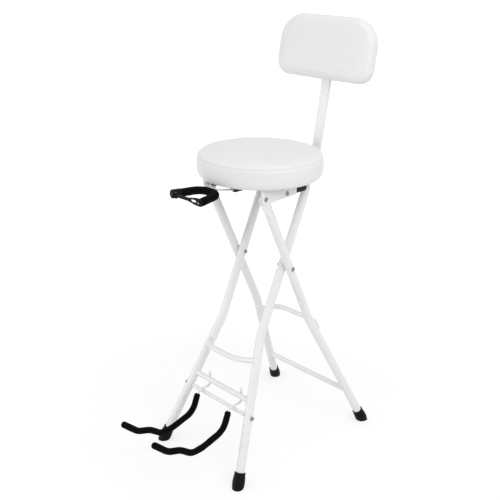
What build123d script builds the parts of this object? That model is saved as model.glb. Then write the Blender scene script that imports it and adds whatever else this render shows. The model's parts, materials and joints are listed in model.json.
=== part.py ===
"""A folding stool for a guitar player: a padded round seat with a backrest on two crossed tube frames,
a padded neck yoke that slides under the seat and a padded cradle that folds up against the front frame.

Millimetres, +Z up. The stool faces -Y, and left is the sitter's left, +X. While it is built, Y is zero
under the middle of the seat; at the end everything moves so that the origin is on the floor at the
middle of the overall box.
"""

from build123d import *
import os
from math import atan, cos, degrees, hypot, radians, sin, sqrt, tan

os.makedirs("parts", exist_ok=True)

# Clearances and the overrun of every cut
overrun = 5.0
dome_rim_share = 0.33
running_fit = 0.06
soft_gap = 0.3
stop_gap = 0.4

# Heights that everything near the seat follows
seat_height = 780.0
cushion_depth = 59.0
board_bottom = seat_height - cushion_depth

# The two crossed frames, seen from the side
pivot_below_seat = 279.0
pivot_height = seat_height - pivot_below_seat
pivot_behind_seat = 11.0
front_lean = 23.65
rear_lean = 25.28

# Frame tubes
tube_radius = 11.0
tube_wall = 1.2
bar_radius = 7.0
bar_wall = 1.2
knee_bend = 90.0
knee_height = 338.0
front_half_width = 70.0
front_foot_half_width = 143.3
frame_gap = 2.5
shoulder_bend = 30.0
top_tube_below_seat = 80.0
top_tube_height = seat_height - top_tube_below_seat
top_tube_half_length = 38.0
front_crossbar_height = 278.0
rear_crossbar_height = 290.0
crossbar_offset = 42.0
crossbar_splay = 34.5
crossbar_bend = 55.0
crossbar_droop = 13.3
crimp_transition = 30.0
crimp_radius = 15.0
crimp_thickness = 3.6
front_stretcher_height = 187.5
rear_stretcher_height = 102.0

# Rubber feet
foot_height = 38.0
foot_bulge_radius = 15.6
foot_top_radius = 13.2
foot_sole_radius = 13.6
foot_floor = 9.0
foot_bulge_share = 0.33
foot_buried_share = 0.17

# Crossing pivots
bolt_radius = 3.0
bolt_head_radius = 5.4
bolt_head_height = 3.6
nut_radius = 4.6
nut_height = 4.5
spacer_radius = 8.0

# Seat
seat_diameter = 300.0
cushion_crown = 3.5
cushion_seam_inset = 8.0
cushion_seam_drop = 6.6
cushion_seam_groove = 1.2
cushion_panel_edge = 15.0
cushion_shoulder_drop = 22.0
cushion_side_swell = 1.0
cushion_bottom_roll = 8.0
cushion_crown_share = 0.25
cushion_roll_share = 0.25
board_diameter = 280.0
board_thickness = 10.0

# Seat brackets and the rod between them
seat_pivot_below_board = 25.0
seat_pivot_height = board_bottom - seat_pivot_below_board
rivet_radius = 3.5
rivet_head_radius = 5.6
rivet_head_height = 2.6
rivet_inner_head = 1.5
bracket_gap = 1.2
bracket_thickness = 2.5
bracket_flange = 22.0
bracket_nose_radius = 13.0
bracket_boss_height = 0.8
bracket_rear_length = 103.0
bracket_rear_depth = 33.5
cross_rod_behind_pivot = 71.0
cross_rod_radius = 4.0
cross_rod_drop = 25.5
screw_radius = 2.0
screw_head_radius = 4.0
screw_head_height = 1.8
screw_length = 8.0
flange_screw_inset = 14.0
small_screw_radius = 1.0
small_screw_head_radius = 2.0
small_screw_head_height = 0.9

# Catches and saddles that steady the front frame's top
catch_width = 9.0
catch_height = 12.0
catch_drop = 22.5
catch_reach = 32.0
catch_length = 54.0
catch_root_length = 24.0
catch_gap = 2.5
catch_rounding_share = 0.42
saddle_length = 22.0
saddle_depth = 30.0
saddle_lip = 5.0
saddle_centre = 27.0
saddle_screw_inset = 3.0

# Backrest
backrest_above_seat = 219.3
backrest_height = seat_height + backrest_above_seat
backrest_behind_seat = 224.0
backrest_tilt = 9.4
backrest_width = 287.0
backrest_tall = 148.0
backrest_upper_corner = 66.0
backrest_lower_corner = 34.0
backrest_pad_thickness = 28.0
backrest_board_thickness = 9.0
backrest_pad_roll = 12.0
backrest_crown = 5.0
backrest_board_inset = 3.0
post_width = 29.0
post_thickness = 8.0
post_corner = 3.4
post_bend = 46.0
post_top_margin = 20.0
post_reach_under_seat = 118.0
post_bolt_radius = 3.0
post_bolt_head_radius = 6.0
post_bolt_head_height = 3.2
post_bolt_pitch = 46.0
seat_bolt_inset = 12.0
seat_bolt_pitch = 32.0

# Neck yoke, its carrier and its guides
yoke_below_board = 13.0
yoke_height = board_bottom - yoke_below_board
yoke_rod_radius = 3.0
yoke_foam_radius = 9.4
yoke_base_ahead = 160.0
yoke_arm_reach = 65.0
yoke_base_half = 28.4
yoke_tip_half = 44.7
yoke_corner_bend = 28.0
yoke_travel = 60.0
carrier_rod_radius = 2.5
carrier_below_board = 8.0
carrier_height = board_bottom - carrier_below_board
carrier_half_width = 34.0
carrier_nose_half = 10.0
carrier_nose_ahead = 147.5
carrier_splay_ahead = 124.0
carrier_bend = 7.0
carrier_rear_length = 60.0
stem_width = 14.0
stem_thickness = 4.4
guide_width = 20.0
guide_length = 23.0
guide_ahead = 119.0
guide_height = 13.5
guide_rounding = 5.0
guide_screw_inset = 4.5
guide_screw_side_inset = 2.5
collar_radius = 5.5
collar_length = 7.0

# Neck strap: a rubber band pinned to a cap on the right tip, its holed tab hooked on the left tip
strap_thickness = 3.4
strap_height = 7.0
strap_tab_height = 17.0
strap_taper_start = 38.0
strap_tab_start = 12.0
strap_tab_over = 7.0
strap_tab_corner = 4.0
strap_edge_bend = 14.0
finger_hole_centre = 19.5
finger_hole_length = 18.0
finger_hole_height = 6.0
strap_pin_radius = 1.5
knuckle_radius = 3.0
lug_height = 3.0
cap_wall = 1.0
cap_overlap = 13.0
cap_ahead = 10.0
cap_rounding = 3.0
cap_pin_ahead = 4.0
cap_pin_gap = 0.6
stud_radius = 2.4
stud_clearance = 0.6
strap_front_gap = 2.8

# Guitar cradle
cradle_hinge_below_stretcher = 32.5
cradle_hinge_height = front_stretcher_height - cradle_hinge_below_stretcher
cradle_half_width = 58.0
cradle_rod_radius = 3.0
cradle_foam_radius = 8.0
hinge_tube_radius = 5.0
axle_radius = 3.0
axle_nut_radius = 5.4
axle_nut_height = 4.4
hinge_tube_clearance = 2.4
cradle_tail_rise = 46.0
cradle_tail_bend = 9.0
cradle_foam_start = 15.0
cradle_drop = 47.0
cradle_heel = 37.0
cradle_floor = 63.0
cradle_toe = 104.0
cradle_dip = 138.0
cradle_dip_level = 64.0
cradle_bump = 174.0
cradle_bump_level = 37.0
cradle_ridge = 210.0
cradle_ridge_level = 24.0
cradle_end = 247.0
cradle_end_level = 11.0
cradle_bends = [13.0, 42.0, 60.0, 38.0, 55.0, 55.0]


def at(x, y, z):
    """A plain move."""
    return Location((x, y, z))


def span_x(radius, x0, x1, y, z):
    """A round bar along X from x0 to x1."""
    return Plane(origin=(x0, y, z), z_dir=(1, 0, 0)) * extrude(Circle(radius), x1 - x0)


def span_z(radius, x, y, z0, z1):
    """A round bar along Z from z0 to z1."""
    return at(x, y, z0) * extrude(Circle(radius), z1 - z0)


def block(x0, x1, y0, y1, z0, z1):
    """A box between two corners."""
    return at((x0 + x1) / 2, (y0 + y1) / 2, (z0 + z1) / 2) * Box(x1 - x0, y1 - y0, z1 - z0)


def rod(path, radius):
    """A solid round bar along a path."""
    return sweep(Plane(origin=path @ 0, z_dir=path % 0) * Circle(radius), path=path)


def tube(path, radius, wall):
    """A round tube along a path."""
    return rod(path, radius) - rod(path, radius - wall)


def dome(radius, height):
    """A low domed head on the XY plane, rising along +Z."""
    rim = height * dome_rim_share
    sphere_radius = (radius**2 + (height - rim) ** 2) / (2 * (height - rim))
    ball = at(0, 0, height - sphere_radius) * Sphere(sphere_radius)
    return extrude(Circle(radius), height) & ball


def screw(x, y, z, shank_radius, length, head_radius, head_height):
    """A screw driven upwards, its head below the height z."""
    head = at(x, y, z) * Rotation(180, 0, 0) * dome(head_radius, head_height)
    return head + span_z(shank_radius, x, y, z, z + length)


def mirrored(shape):
    """The same piece on the other side of the stool."""
    return mirror(shape, about=Plane.YZ)


def both(shape):
    """A left piece and its mirror image, as separate solids."""
    return [shape, mirrored(shape)]


# Places that follow from the sizes above
front_foot_y = pivot_behind_seat - pivot_height * tan(radians(front_lean))
rear_foot_y = pivot_behind_seat + pivot_height * tan(radians(rear_lean))
front_frame = Location((0, front_foot_y, 0), (-front_lean, 0, 0))
rear_frame = Location((0, rear_foot_y, 0), (rear_lean, 0, 0))
rear_half_width = front_half_width + 2 * tube_radius + frame_gap
rear_foot_half_width = front_foot_half_width + 2 * tube_radius + frame_gap
seat_pivot_y = rear_foot_y - seat_pivot_height * tan(radians(rear_lean))
seat_pivot_z = seat_pivot_height
top_tube_y = front_foot_y + top_tube_height * tan(radians(front_lean))
board_top = board_bottom + board_thickness
hinge_y = front_foot_y + cradle_hinge_height * tan(radians(front_lean))
hinge_z = cradle_hinge_height


def along(height, lean):
    """The distance up a leaning frame at which a height is reached."""
    return height / cos(radians(lean))


def half_width_at(height, half_width, foot_half_width):
    """Half the width of a frame at a height, where the legs flare below the knee."""
    share = max(0.0, 1 - height / knee_height)
    return half_width + (foot_half_width - half_width) * share


def leg_route(lean, half_width, foot_half_width, start, top, reach=None):
    """The centre line of a left leg in its frame's plane, from the foot up past the knee."""
    knee = along(knee_height, lean)
    flare = atan((foot_half_width - half_width) / knee)
    points = [
        (foot_half_width - start * sin(flare), 0, start * cos(flare)),
        (half_width, 0, knee),
        (half_width, 0, along(top, lean)),
    ]
    bends = [knee_bend]
    if reach is not None:
        points.append((reach, 0, along(top, lean)))
        bends.append(shoulder_bend)
    return FilletPolyline(*points, radius=bends)


def leg_flare(lean, half_width, foot_half_width):
    """The lower leg's angle from the frame's upright line, in degrees."""
    return degrees(atan((foot_half_width - half_width) / along(knee_height, lean)))


front_flare = radians(leg_flare(front_lean, front_half_width, front_foot_half_width))

# Front frame
front_route = leg_route(
    front_lean, front_half_width, front_foot_half_width, foot_floor, top_tube_height, top_tube_half_length
)
front_core = front_frame * rod(front_route, tube_radius)
front_leg = front_frame * tube(front_route, tube_radius, tube_wall)
front_top = span_x(tube_radius, -top_tube_half_length, top_tube_half_length, top_tube_y, top_tube_height)
front_top -= span_x(
    tube_radius - tube_wall, -top_tube_half_length, top_tube_half_length, top_tube_y, top_tube_height
)

# Rear frame, whose tubes are crimped flat round the seat's pivots
pivot_along = along(seat_pivot_height, rear_lean)
crimp_start = pivot_along - crimp_radius - crimp_transition
crimp_route = leg_route(
    rear_lean, rear_half_width, rear_foot_half_width, foot_floor, crimp_start * cos(radians(rear_lean))
)
rear_core = rear_frame * rod(crimp_route, tube_radius)
rear_leg = rear_frame * tube(crimp_route, tube_radius, tube_wall)


def crimped_end():
    """The left tube's end, pressed from round to flat and rounded off, in the frame's own plane."""
    flat = SlotOverall(2 * crimp_radius, crimp_thickness, rotation=90)
    round_plane = Plane(origin=(rear_half_width, 0, crimp_start))
    flat_plane = Plane(origin=(rear_half_width, 0, pivot_along - crimp_radius))
    taper = loft([round_plane * Circle(tube_radius), flat_plane * flat])
    straight = flat_plane * extrude(flat, crimp_radius)
    disc_plane = Plane(origin=(rear_half_width - crimp_thickness / 2, 0, pivot_along), z_dir=(1, 0, 0))
    return taper + straight + disc_plane * extrude(Circle(crimp_radius), crimp_thickness)


rear_leg += rear_frame * crimped_end()


def crossbar(frame, lean, half_width, foot_half_width, height, side, core):
    """A footrest bar bowed out from a frame, its ends cut to the legs it is welded to."""
    level = along(height, lean)
    reach = half_width_at(height, half_width, foot_half_width)
    out = side * crossbar_offset * cos(radians(crossbar_droop))
    low = level - crossbar_offset * sin(radians(crossbar_droop))
    corner = reach - crossbar_splay
    points = [(-reach, 0, level), (-corner, out, low), (corner, out, low), (reach, 0, level)]
    bar = frame * tube(FilletPolyline(*points, radius=crossbar_bend), bar_radius, bar_wall)
    return bar - core - mirrored(core)


def stretcher(frame, lean, half_width, foot_half_width, height, core):
    """A straight bar between the legs of a frame, its ends cut to the legs."""
    reach = half_width_at(height, half_width, foot_half_width)
    level = along(height, lean)
    bar = span_x(bar_radius, -reach, reach, 0, level)
    bar -= span_x(bar_radius - bar_wall, -reach, reach, 0, level)
    return frame * bar - core - mirrored(core)


front_crossbar = crossbar(
    front_frame, front_lean, front_half_width, front_foot_half_width, front_crossbar_height, -1, front_core
)
rear_crossbar = crossbar(
    rear_frame, rear_lean, rear_half_width, rear_foot_half_width, rear_crossbar_height, 1, rear_core
)
front_stretcher = stretcher(
    front_frame, front_lean, front_half_width, front_foot_half_width, front_stretcher_height, front_core
)
rear_stretcher = stretcher(
    rear_frame, rear_lean, rear_half_width, rear_foot_half_width, rear_stretcher_height, rear_core
)


def rubber_foot(frame, lean, half_width, foot_half_width, core):
    """A bulged rubber cap on the end of a leg, cut level where it stands."""
    flare = leg_flare(lean, half_width, foot_half_width)
    bulge_level = foot_height * foot_bulge_share
    buried = -foot_height * foot_buried_share
    rim = Polyline(
        (0, foot_height),
        (foot_top_radius - tube_wall, foot_height),
        (foot_top_radius, foot_height - tube_wall),
    )
    side = Spline(
        (foot_top_radius, foot_height - tube_wall),
        (foot_bulge_radius, bulge_level),
        (foot_sole_radius, buried),
    )
    base = Polyline((foot_sole_radius, buried), (0, buried), (0, foot_height))
    outline = make_face(Plane.XZ * (rim + side + base))
    cap = frame * (at(foot_half_width, 0, 0) * (Rotation(0, -flare, 0) * revolve(outline, axis=Axis.Z)))
    room = foot_half_width + foot_height
    above_floor = block(0, 2 * room, -pivot_height, pivot_height, 0, 2 * foot_height)
    return (cap & above_floor) - core


front_foot = rubber_foot(front_frame, front_lean, front_half_width, front_foot_half_width, front_core)
rear_foot = rubber_foot(rear_frame, rear_lean, rear_half_width, rear_foot_half_width, rear_core)

# Crossing pivots: a bolt through both legs, a dome nut inside and a spacer between the tubes
front_inner = front_half_width - tube_radius
front_outer = front_half_width + tube_radius
rear_inner = rear_half_width - tube_radius
rear_outer = rear_half_width + tube_radius


def pivot_bore(radius):
    """The hole of the crossing pivot through every piece on the left side."""
    return span_x(radius, front_inner - overrun, rear_outer + overrun, pivot_behind_seat, pivot_height)


pivot_bolt = span_x(bolt_radius, front_inner - nut_height / 2, rear_outer, pivot_behind_seat, pivot_height)
pivot_bolt += (
    at(rear_outer, pivot_behind_seat, pivot_height)
    * Rotation(0, 90, 0)
    * dome(bolt_head_radius, bolt_head_height)
)
pivot_nut = (
    at(front_inner, pivot_behind_seat, pivot_height) * Rotation(0, -90, 0) * dome(nut_radius, nut_height)
)
pivot_nut -= pivot_bolt
pivot_spacer = span_x(spacer_radius, front_outer, rear_inner, pivot_behind_seat, pivot_height)
pivot_spacer -= pivot_bore(bolt_radius)
front_leg -= pivot_bore(bolt_radius)
rear_leg -= pivot_bore(bolt_radius + running_fit)

# Seat board and cushion
board = at(0, 0, board_bottom) * extrude(Circle(board_diameter / 2), board_thickness)


def middle_of(start, end, bulge):
    """The point halfway between two points of a profile, moved outwards and upwards by a bulge."""
    return ((start[0] + end[0]) / 2 + bulge, (start[1] + end[1]) / 2 + bulge)


def cushion_solid():
    """A round cushion: a crowned top panel, drawn in at the seam where it meets the side band."""
    radius = seat_diameter / 2
    seam_radius = radius - cushion_seam_inset
    lower = board_bottom + cushion_bottom_roll
    rim = board_diameter / 2 + soft_gap
    top = (0, seat_height)
    panel = (radius - cushion_panel_edge, seat_height - cushion_crown)
    seam = (seam_radius - cushion_seam_groove, seat_height - cushion_seam_drop - cushion_seam_groove)
    shoulder = (radius, seat_height - cushion_shoulder_drop)
    side_foot = (radius, lower)
    base = (radius - cushion_bottom_roll, board_bottom)
    crown_middle = (panel[0] / 2, seat_height - cushion_crown * cushion_crown_share)
    side_middle = (radius + cushion_side_swell, (shoulder[1] + lower) / 2)
    roll_out = cushion_bottom_roll * sin(radians(45)) - cushion_bottom_roll
    roll_middle = (radius + roll_out, board_bottom - roll_out)
    band_bulge = cushion_seam_inset * cushion_roll_share
    outer = ThreePointArc(top, crown_middle, panel)
    outer += ThreePointArc(panel, middle_of(panel, seam, cushion_seam_groove), seam)
    outer += ThreePointArc(seam, middle_of(seam, shoulder, band_bulge), shoulder)
    outer += ThreePointArc(shoulder, side_middle, side_foot)
    outer += ThreePointArc(side_foot, roll_middle, base)
    inner = Polyline(base, (rim, board_bottom), (rim, board_top + soft_gap), (0, board_top + soft_gap), top)
    return revolve(make_face(Plane.XZ * (outer + inner)), axis=Axis.Z)


cushion = cushion_solid()

# Seat brackets: a side plate with a turned-in flange under the board
crimp_inner = rear_half_width - crimp_thickness / 2
crimp_outer = rear_half_width + crimp_thickness / 2
plate_inner = crimp_outer + bracket_gap
plate_outer = plate_inner + bracket_thickness
flange_inner = plate_outer - bracket_flange
bracket_front = seat_pivot_y - bracket_nose_radius
bracket_rear = seat_pivot_y + bracket_rear_length
flange_bottom = board_bottom - bracket_thickness


def bracket_solid():
    """The left bracket, rounded round its pivot, with a raised boss on the outside."""
    outline = Polyline(
        (bracket_front, seat_pivot_z),
        (bracket_front, board_bottom),
        (bracket_rear, board_bottom),
        (bracket_rear, board_bottom - bracket_rear_depth),
        (seat_pivot_y, seat_pivot_z - bracket_nose_radius),
        (seat_pivot_y, seat_pivot_z),
        close=True,
    )
    side = Plane(origin=(plate_inner, 0, 0), x_dir=(0, 1, 0), z_dir=(1, 0, 0))
    plate = side * extrude(make_face(outline), bracket_thickness)
    plate += span_x(bracket_nose_radius, plate_inner, plate_outer, seat_pivot_y, seat_pivot_z)
    plate += block(flange_inner, plate_outer, bracket_front, bracket_rear, flange_bottom, board_bottom)
    boss_outer = plate_outer + bracket_boss_height
    boss_radius = bracket_nose_radius - bracket_thickness
    plate += span_x(boss_radius, plate_outer, boss_outer, seat_pivot_y, seat_pivot_z)
    plate -= span_x(rivet_radius, plate_inner - overrun, boss_outer + overrun, seat_pivot_y, seat_pivot_z)
    return plate


cross_rod_y = seat_pivot_y + cross_rod_behind_pivot
cross_rod_z = board_bottom - cross_rod_drop
cross_rod = span_x(cross_rod_radius, -plate_inner, plate_inner, cross_rod_y, cross_rod_z)
cross_rod += span_x(rivet_radius, -plate_outer, plate_outer, cross_rod_y, cross_rod_z)
rod_head = at(plate_outer, cross_rod_y, cross_rod_z) * Rotation(0, 90, 0) * dome(
    rivet_head_radius, rivet_head_height
)
cross_rod += rod_head + mirrored(rod_head)
bracket = bracket_solid() - cross_rod

boss_face = plate_outer + bracket_boss_height
seat_rivet = span_x(rivet_radius, crimp_inner, boss_face, seat_pivot_y, seat_pivot_z)
seat_rivet += at(boss_face, seat_pivot_y, seat_pivot_z) * Rotation(0, 90, 0) * dome(
    rivet_head_radius, rivet_head_height
)
seat_rivet += at(crimp_inner, seat_pivot_y, seat_pivot_z) * Rotation(0, -90, 0) * dome(
    rivet_head_radius, rivet_inner_head
)
rear_leg -= span_x(
    rivet_radius + running_fit, rear_inner - overrun, rear_outer + overrun, seat_pivot_y, seat_pivot_z
)
seat_washer = span_x(bolt_head_radius, crimp_outer, plate_inner, seat_pivot_y, seat_pivot_z)
seat_washer -= span_x(rivet_radius, crimp_outer, plate_inner, seat_pivot_y, seat_pivot_z)

# Catches beside the front frame's top and saddles over its top tube
catch_inner = front_outer + catch_gap
catch_outer = catch_inner + catch_width
catch_rear = top_tube_y - catch_reach
catch_front = catch_rear - catch_length
catch_top = board_bottom - catch_drop
catch_bottom = catch_top - catch_height
catch = block(catch_inner, catch_outer, catch_front, catch_rear, catch_bottom, catch_top)
catch = fillet(catch.edges().filter_by(Axis.X), catch_height * catch_rounding_share)
catch_root_front = catch_front + catch_height / 2
catch_root_rear = catch_front + catch_root_length
catch += block(catch_inner, catch_outer, catch_root_front, catch_root_rear, catch_top, board_bottom)
catch -= block(
    flange_inner - soft_gap,
    plate_outer,
    bracket_front,
    bracket_rear + soft_gap,
    flange_bottom - soft_gap,
    board_bottom + overrun,
)
saddle = block(
    saddle_centre - saddle_length / 2,
    saddle_centre + saddle_length / 2,
    top_tube_y - saddle_depth / 2,
    top_tube_y + saddle_depth / 2,
    top_tube_height + saddle_lip,
    board_bottom,
)
saddle -= span_x(tube_radius + stop_gap, 0, 2 * saddle_centre, top_tube_y, top_tube_height)

# Screws that hold what is under the board
screw_z = flange_bottom
bracket_screw_x = (flange_inner + plate_inner) / 2
bracket_screws = []
for place in (bracket_front + flange_screw_inset, bracket_rear - flange_screw_inset):
    bracket_screws += both(
        screw(
            bracket_screw_x, place, screw_z, screw_radius, screw_length, screw_head_radius, screw_head_height
        )
    )
saddle_screws = []
saddle_screw_base = top_tube_height + saddle_lip
saddle_screw_length = board_bottom - saddle_screw_base + screw_radius
saddle_screw_offset = saddle_depth / 2 - saddle_screw_inset
for y in (top_tube_y - saddle_screw_offset, top_tube_y + saddle_screw_offset):
    saddle_screws += both(
        screw(
            saddle_centre,
            y,
            saddle_screw_base,
            small_screw_radius,
            saddle_screw_length,
            small_screw_head_radius,
            small_screw_head_height,
        )
    )

# Guides of the yoke's carrier
guide_front = -guide_ahead
guide_rear = guide_front + guide_length
guide = block(
    carrier_half_width - guide_width / 2,
    carrier_half_width + guide_width / 2,
    guide_front,
    guide_rear,
    board_bottom - guide_height,
    board_bottom,
)
guide = fillet(guide.edges().filter_by(Axis.Y).sort_by(Axis.Z)[:2], guide_rounding)
bore_plane = Plane(origin=(carrier_half_width, guide_front - overrun, carrier_height), z_dir=(0, 1, 0))
guide -= bore_plane * extrude(Circle(carrier_rod_radius + running_fit), guide_length + 2 * overrun)
guide_screws = []
guide_screw_base = board_bottom - guide_height / 2
guide_screw_side = guide_width / 2 - guide_screw_side_inset
pocket_radius = small_screw_head_radius + soft_gap
pocket_bottom = board_bottom - guide_height - overrun
for y in (guide_front + guide_screw_inset, guide_rear - guide_screw_inset):
    for x in (carrier_half_width - guide_screw_side, carrier_half_width + guide_screw_side):
        guide_screws += both(
            screw(
                x,
                y,
                guide_screw_base,
                small_screw_radius,
                guide_height / 2 + screw_radius,
                small_screw_head_radius,
                small_screw_head_height,
            )
        )
        guide -= span_z(pocket_radius, x, y, pocket_bottom, guide_screw_base)

# Yoke: a padded U of rod, its stem and the carrier that slides in the guides
base_y = -yoke_base_ahead
tip_y = base_y - yoke_arm_reach
yoke_route = FilletPolyline(
    (yoke_tip_half, tip_y, yoke_height),
    (yoke_base_half, base_y, yoke_height),
    (-yoke_base_half, base_y, yoke_height),
    (-yoke_tip_half, tip_y, yoke_height),
    radius=yoke_corner_bend,
)
carrier_route = FilletPolyline(
    (carrier_half_width, carrier_rear_length, carrier_height),
    (carrier_half_width, -carrier_splay_ahead, carrier_height),
    (carrier_nose_half, -carrier_nose_ahead, carrier_height),
    (-carrier_nose_half, -carrier_nose_ahead, carrier_height),
    (-carrier_half_width, -carrier_splay_ahead, carrier_height),
    (-carrier_half_width, carrier_rear_length, carrier_height),
    radius=carrier_bend,
)
yoke_rod = rod(yoke_route, yoke_rod_radius)
carrier = rod(carrier_route, carrier_rod_radius)
stem_top = carrier_height - carrier_rod_radius
stem_rear = carrier_rod_radius - carrier_nose_ahead
stem = block(-stem_width / 2, stem_width / 2, base_y, stem_rear, stem_top - stem_thickness, stem_top)
sleeve = rod(yoke_route, yoke_foam_radius)

# A rubber cap on the right tip, with two lugs on its inner side that hold the strap's pin
arm_splay = atan((yoke_tip_half - yoke_base_half) / yoke_arm_reach)
ahead = Vector(-sin(arm_splay), -cos(arm_splay), 0)
inwards = Vector(cos(arm_splay), -sin(arm_splay), 0)
right_tip = Vector(-yoke_tip_half, tip_y, yoke_height)
cap_radius = yoke_foam_radius + cap_wall
cap_plane = Plane(origin=right_tip - ahead * cap_overlap, z_dir=ahead)
strap_cap = cap_plane * extrude(Circle(cap_radius), cap_overlap + cap_ahead)
strap_cap = fillet(strap_cap.edges().filter_by(GeomType.CIRCLE).sort_by(Axis.Y)[0], cap_rounding)
pin = right_tip + ahead * cap_pin_ahead + inwards * (cap_radius + cap_pin_gap + knuckle_radius)
lug_inner = strap_height / 2 + soft_gap
lug_outer = lug_inner + lug_height
lug_depth = cap_radius + knuckle_radius
for lug_middle in (-(lug_inner + lug_outer) / 2, (lug_inner + lug_outer) / 2):
    lug_place = Location((pin.X, pin.Y, yoke_height + lug_middle), (0, 0, -degrees(arm_splay)))
    strap_cap += lug_place * Cylinder(knuckle_radius, lug_height)
    strap_cap += lug_place * (at(-lug_depth / 2, 0, 0) * Box(lug_depth, 2 * knuckle_radius, lug_height))
strap_pin = span_z(strap_pin_radius, pin.X, pin.Y, yoke_height - lug_outer, yoke_height + lug_outer)
strap_cap = strap_cap - sleeve - strap_pin

# The strap runs from the pin past the front of the left tip, where its tab hooks over a stud
left_tip = Vector(yoke_tip_half, tip_y, yoke_height)
strap_stand_off = strap_front_gap + strap_thickness / 2
tip_distance = hypot(left_tip.X - pin.X, left_tip.Y - pin.Y)
strap_length = sqrt(tip_distance**2 - strap_stand_off**2)
strap_angle = atan((left_tip.Y - pin.Y) / (left_tip.X - pin.X)) - atan(strap_stand_off / strap_length)
strap_normal = Vector(sin(strap_angle), -cos(strap_angle), 0)
stud_neck = Plane(origin=left_tip, z_dir=strap_normal) * extrude(Circle(stud_radius), strap_front_gap)
yoke_rod += stud_neck
stud_plane = Plane(origin=left_tip + strap_normal * strap_front_gap, z_dir=strap_normal)
stud = stud_plane * extrude(Circle(stud_radius), 2 * strap_thickness)
yoke_foam = sleeve - yoke_rod - stem
stem = stem - yoke_rod - carrier


def strap_solid():
    """A flat rubber band along X from its pin, widening to a tab with a finger hole and a hook hole."""
    half = strap_height / 2
    tab = strap_tab_height / 2
    taper = strap_length - strap_taper_start
    tab_start = strap_length - strap_tab_start
    end = strap_length + strap_tab_over
    bends = [strap_edge_bend, strap_edge_bend, strap_tab_corner]
    bends += bends[::-1]
    edge = FilletPolyline(
        (0, -half),
        (taper, -half),
        (tab_start, -tab),
        (end, -tab),
        (end, tab),
        (tab_start, tab),
        (taper, half),
        (0, half),
        radius=bends,
    )
    outline = make_face(edge + Line((0, half), (0, -half)))
    rear = Plane(origin=(0, strap_thickness / 2, 0), x_dir=(1, 0, 0), z_dir=(0, -1, 0))
    band = rear * extrude(outline, strap_thickness)
    band += span_z(knuckle_radius, 0, 0, -half, half)
    middle = Plane(origin=(0, 0, 0), x_dir=(1, 0, 0), z_dir=(0, -1, 0))
    finger_hole = SlotOverall(finger_hole_length, finger_hole_height)
    finger_hole = at(strap_length - finger_hole_centre, 0, 0) * finger_hole
    hook_hole = at(strap_length, 0, 0) * Circle(stud_radius + stud_clearance)
    band -= middle * extrude(finger_hole, strap_thickness, both=True)
    band -= middle * extrude(hook_hole, strap_thickness, both=True)
    return band - span_z(strap_pin_radius + running_fit, 0, 0, -strap_height, strap_height)


strap = Location((pin.X, pin.Y, yoke_height), (0, 0, degrees(strap_angle))) * strap_solid()

collars = []
for side in (-1, 1):
    collar_front = guide_rear + yoke_travel + stop_gap
    collar_plane = Plane(origin=(side * carrier_half_width, collar_front, carrier_height), z_dir=(0, 1, 0))
    collar = collar_plane * extrude(Circle(collar_radius), collar_length)
    collars.append(collar - carrier)

# Cradle: two padded arms welded to a tube that turns on an axle between the front legs
stretcher_y = front_foot_y + front_stretcher_height * tan(radians(front_lean))
tail_y = stretcher_y + bar_radius + cradle_rod_radius + stop_gap
arm_level = hinge_z + hinge_tube_radius + cradle_rod_radius
foam_y = hinge_y - cradle_foam_start
arm_x = cradle_half_width


def arm_point(ahead, below):
    """A point of the left arm, given ahead of the hinge and below it."""
    return (arm_x, hinge_y - ahead, hinge_z - below)


arm_shape = [
    arm_point(cradle_heel, cradle_drop),
    arm_point(cradle_toe, cradle_floor),
    arm_point(cradle_dip, cradle_dip_level),
    arm_point(cradle_bump, cradle_bump_level),
    arm_point(cradle_ridge, cradle_ridge_level),
    arm_point(cradle_end, -cradle_end_level),
]
tail_points = [(arm_x, tail_y, hinge_z + cradle_tail_rise), (arm_x, tail_y, arm_level)]
arm_head = (arm_x, foam_y, arm_level)
arm_route = FilletPolyline(*tail_points, arm_head, *arm_shape, radius=[cradle_tail_bend, *cradle_bends])
cradle_arm = rod(arm_route, cradle_rod_radius)
foam_top = (arm_x, foam_y - cradle_foam_start / 4, arm_level - cradle_foam_start / 2)
foam_route = FilletPolyline(foam_top, *arm_shape, radius=cradle_bends[1:])
cradle_foam = rod(foam_route, cradle_foam_radius)
cradle_foam += Location(arm_shape[-1]) * Sphere(cradle_foam_radius)
cradle_foam -= cradle_arm
hinge_reach = half_width_at(cradle_hinge_height, front_half_width, front_foot_half_width)
leg_reach = tube_radius / cos(front_flare)
hinge_half = hinge_reach - leg_reach - hinge_tube_clearance
hinge_tube = span_x(hinge_tube_radius, -hinge_half, hinge_half, hinge_y, hinge_z)
hinge_tube -= span_x(axle_radius + running_fit, -hinge_half, hinge_half, hinge_y, hinge_z)
axle_half = hinge_reach + leg_reach + axle_nut_radius * tan(front_flare)
axle_end = axle_half + axle_nut_height / 2
axle = span_x(axle_radius, -axle_end, axle_end, hinge_y, hinge_z)
axle_nut = at(axle_half, hinge_y, hinge_z) * Rotation(0, 90, 0) * dome(axle_nut_radius, axle_nut_height)
axle_nuts = both(axle_nut - axle)
front_leg -= axle

# Backrest and its post
tilt_frame = Location((0, backrest_behind_seat, backrest_height), (-backrest_tilt, 0, 0))
half_thick = (backrest_pad_thickness + backrest_board_thickness) / 2


def rounded_panel(inset, depth):
    """The backrest's outline, with large upper corners, extruded towards its rear."""
    half = backrest_width / 2 - inset
    tall = backrest_tall / 2 - inset
    upper = backrest_upper_corner - inset
    lower = backrest_lower_corner - inset
    outline = FilletPolyline(
        (half, -tall),
        (half, tall),
        (-half, tall),
        (-half, -tall),
        radius=[lower, upper, upper, lower],
        close=True,
    )
    return Plane.XZ * extrude(make_face(outline), -depth)


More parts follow.
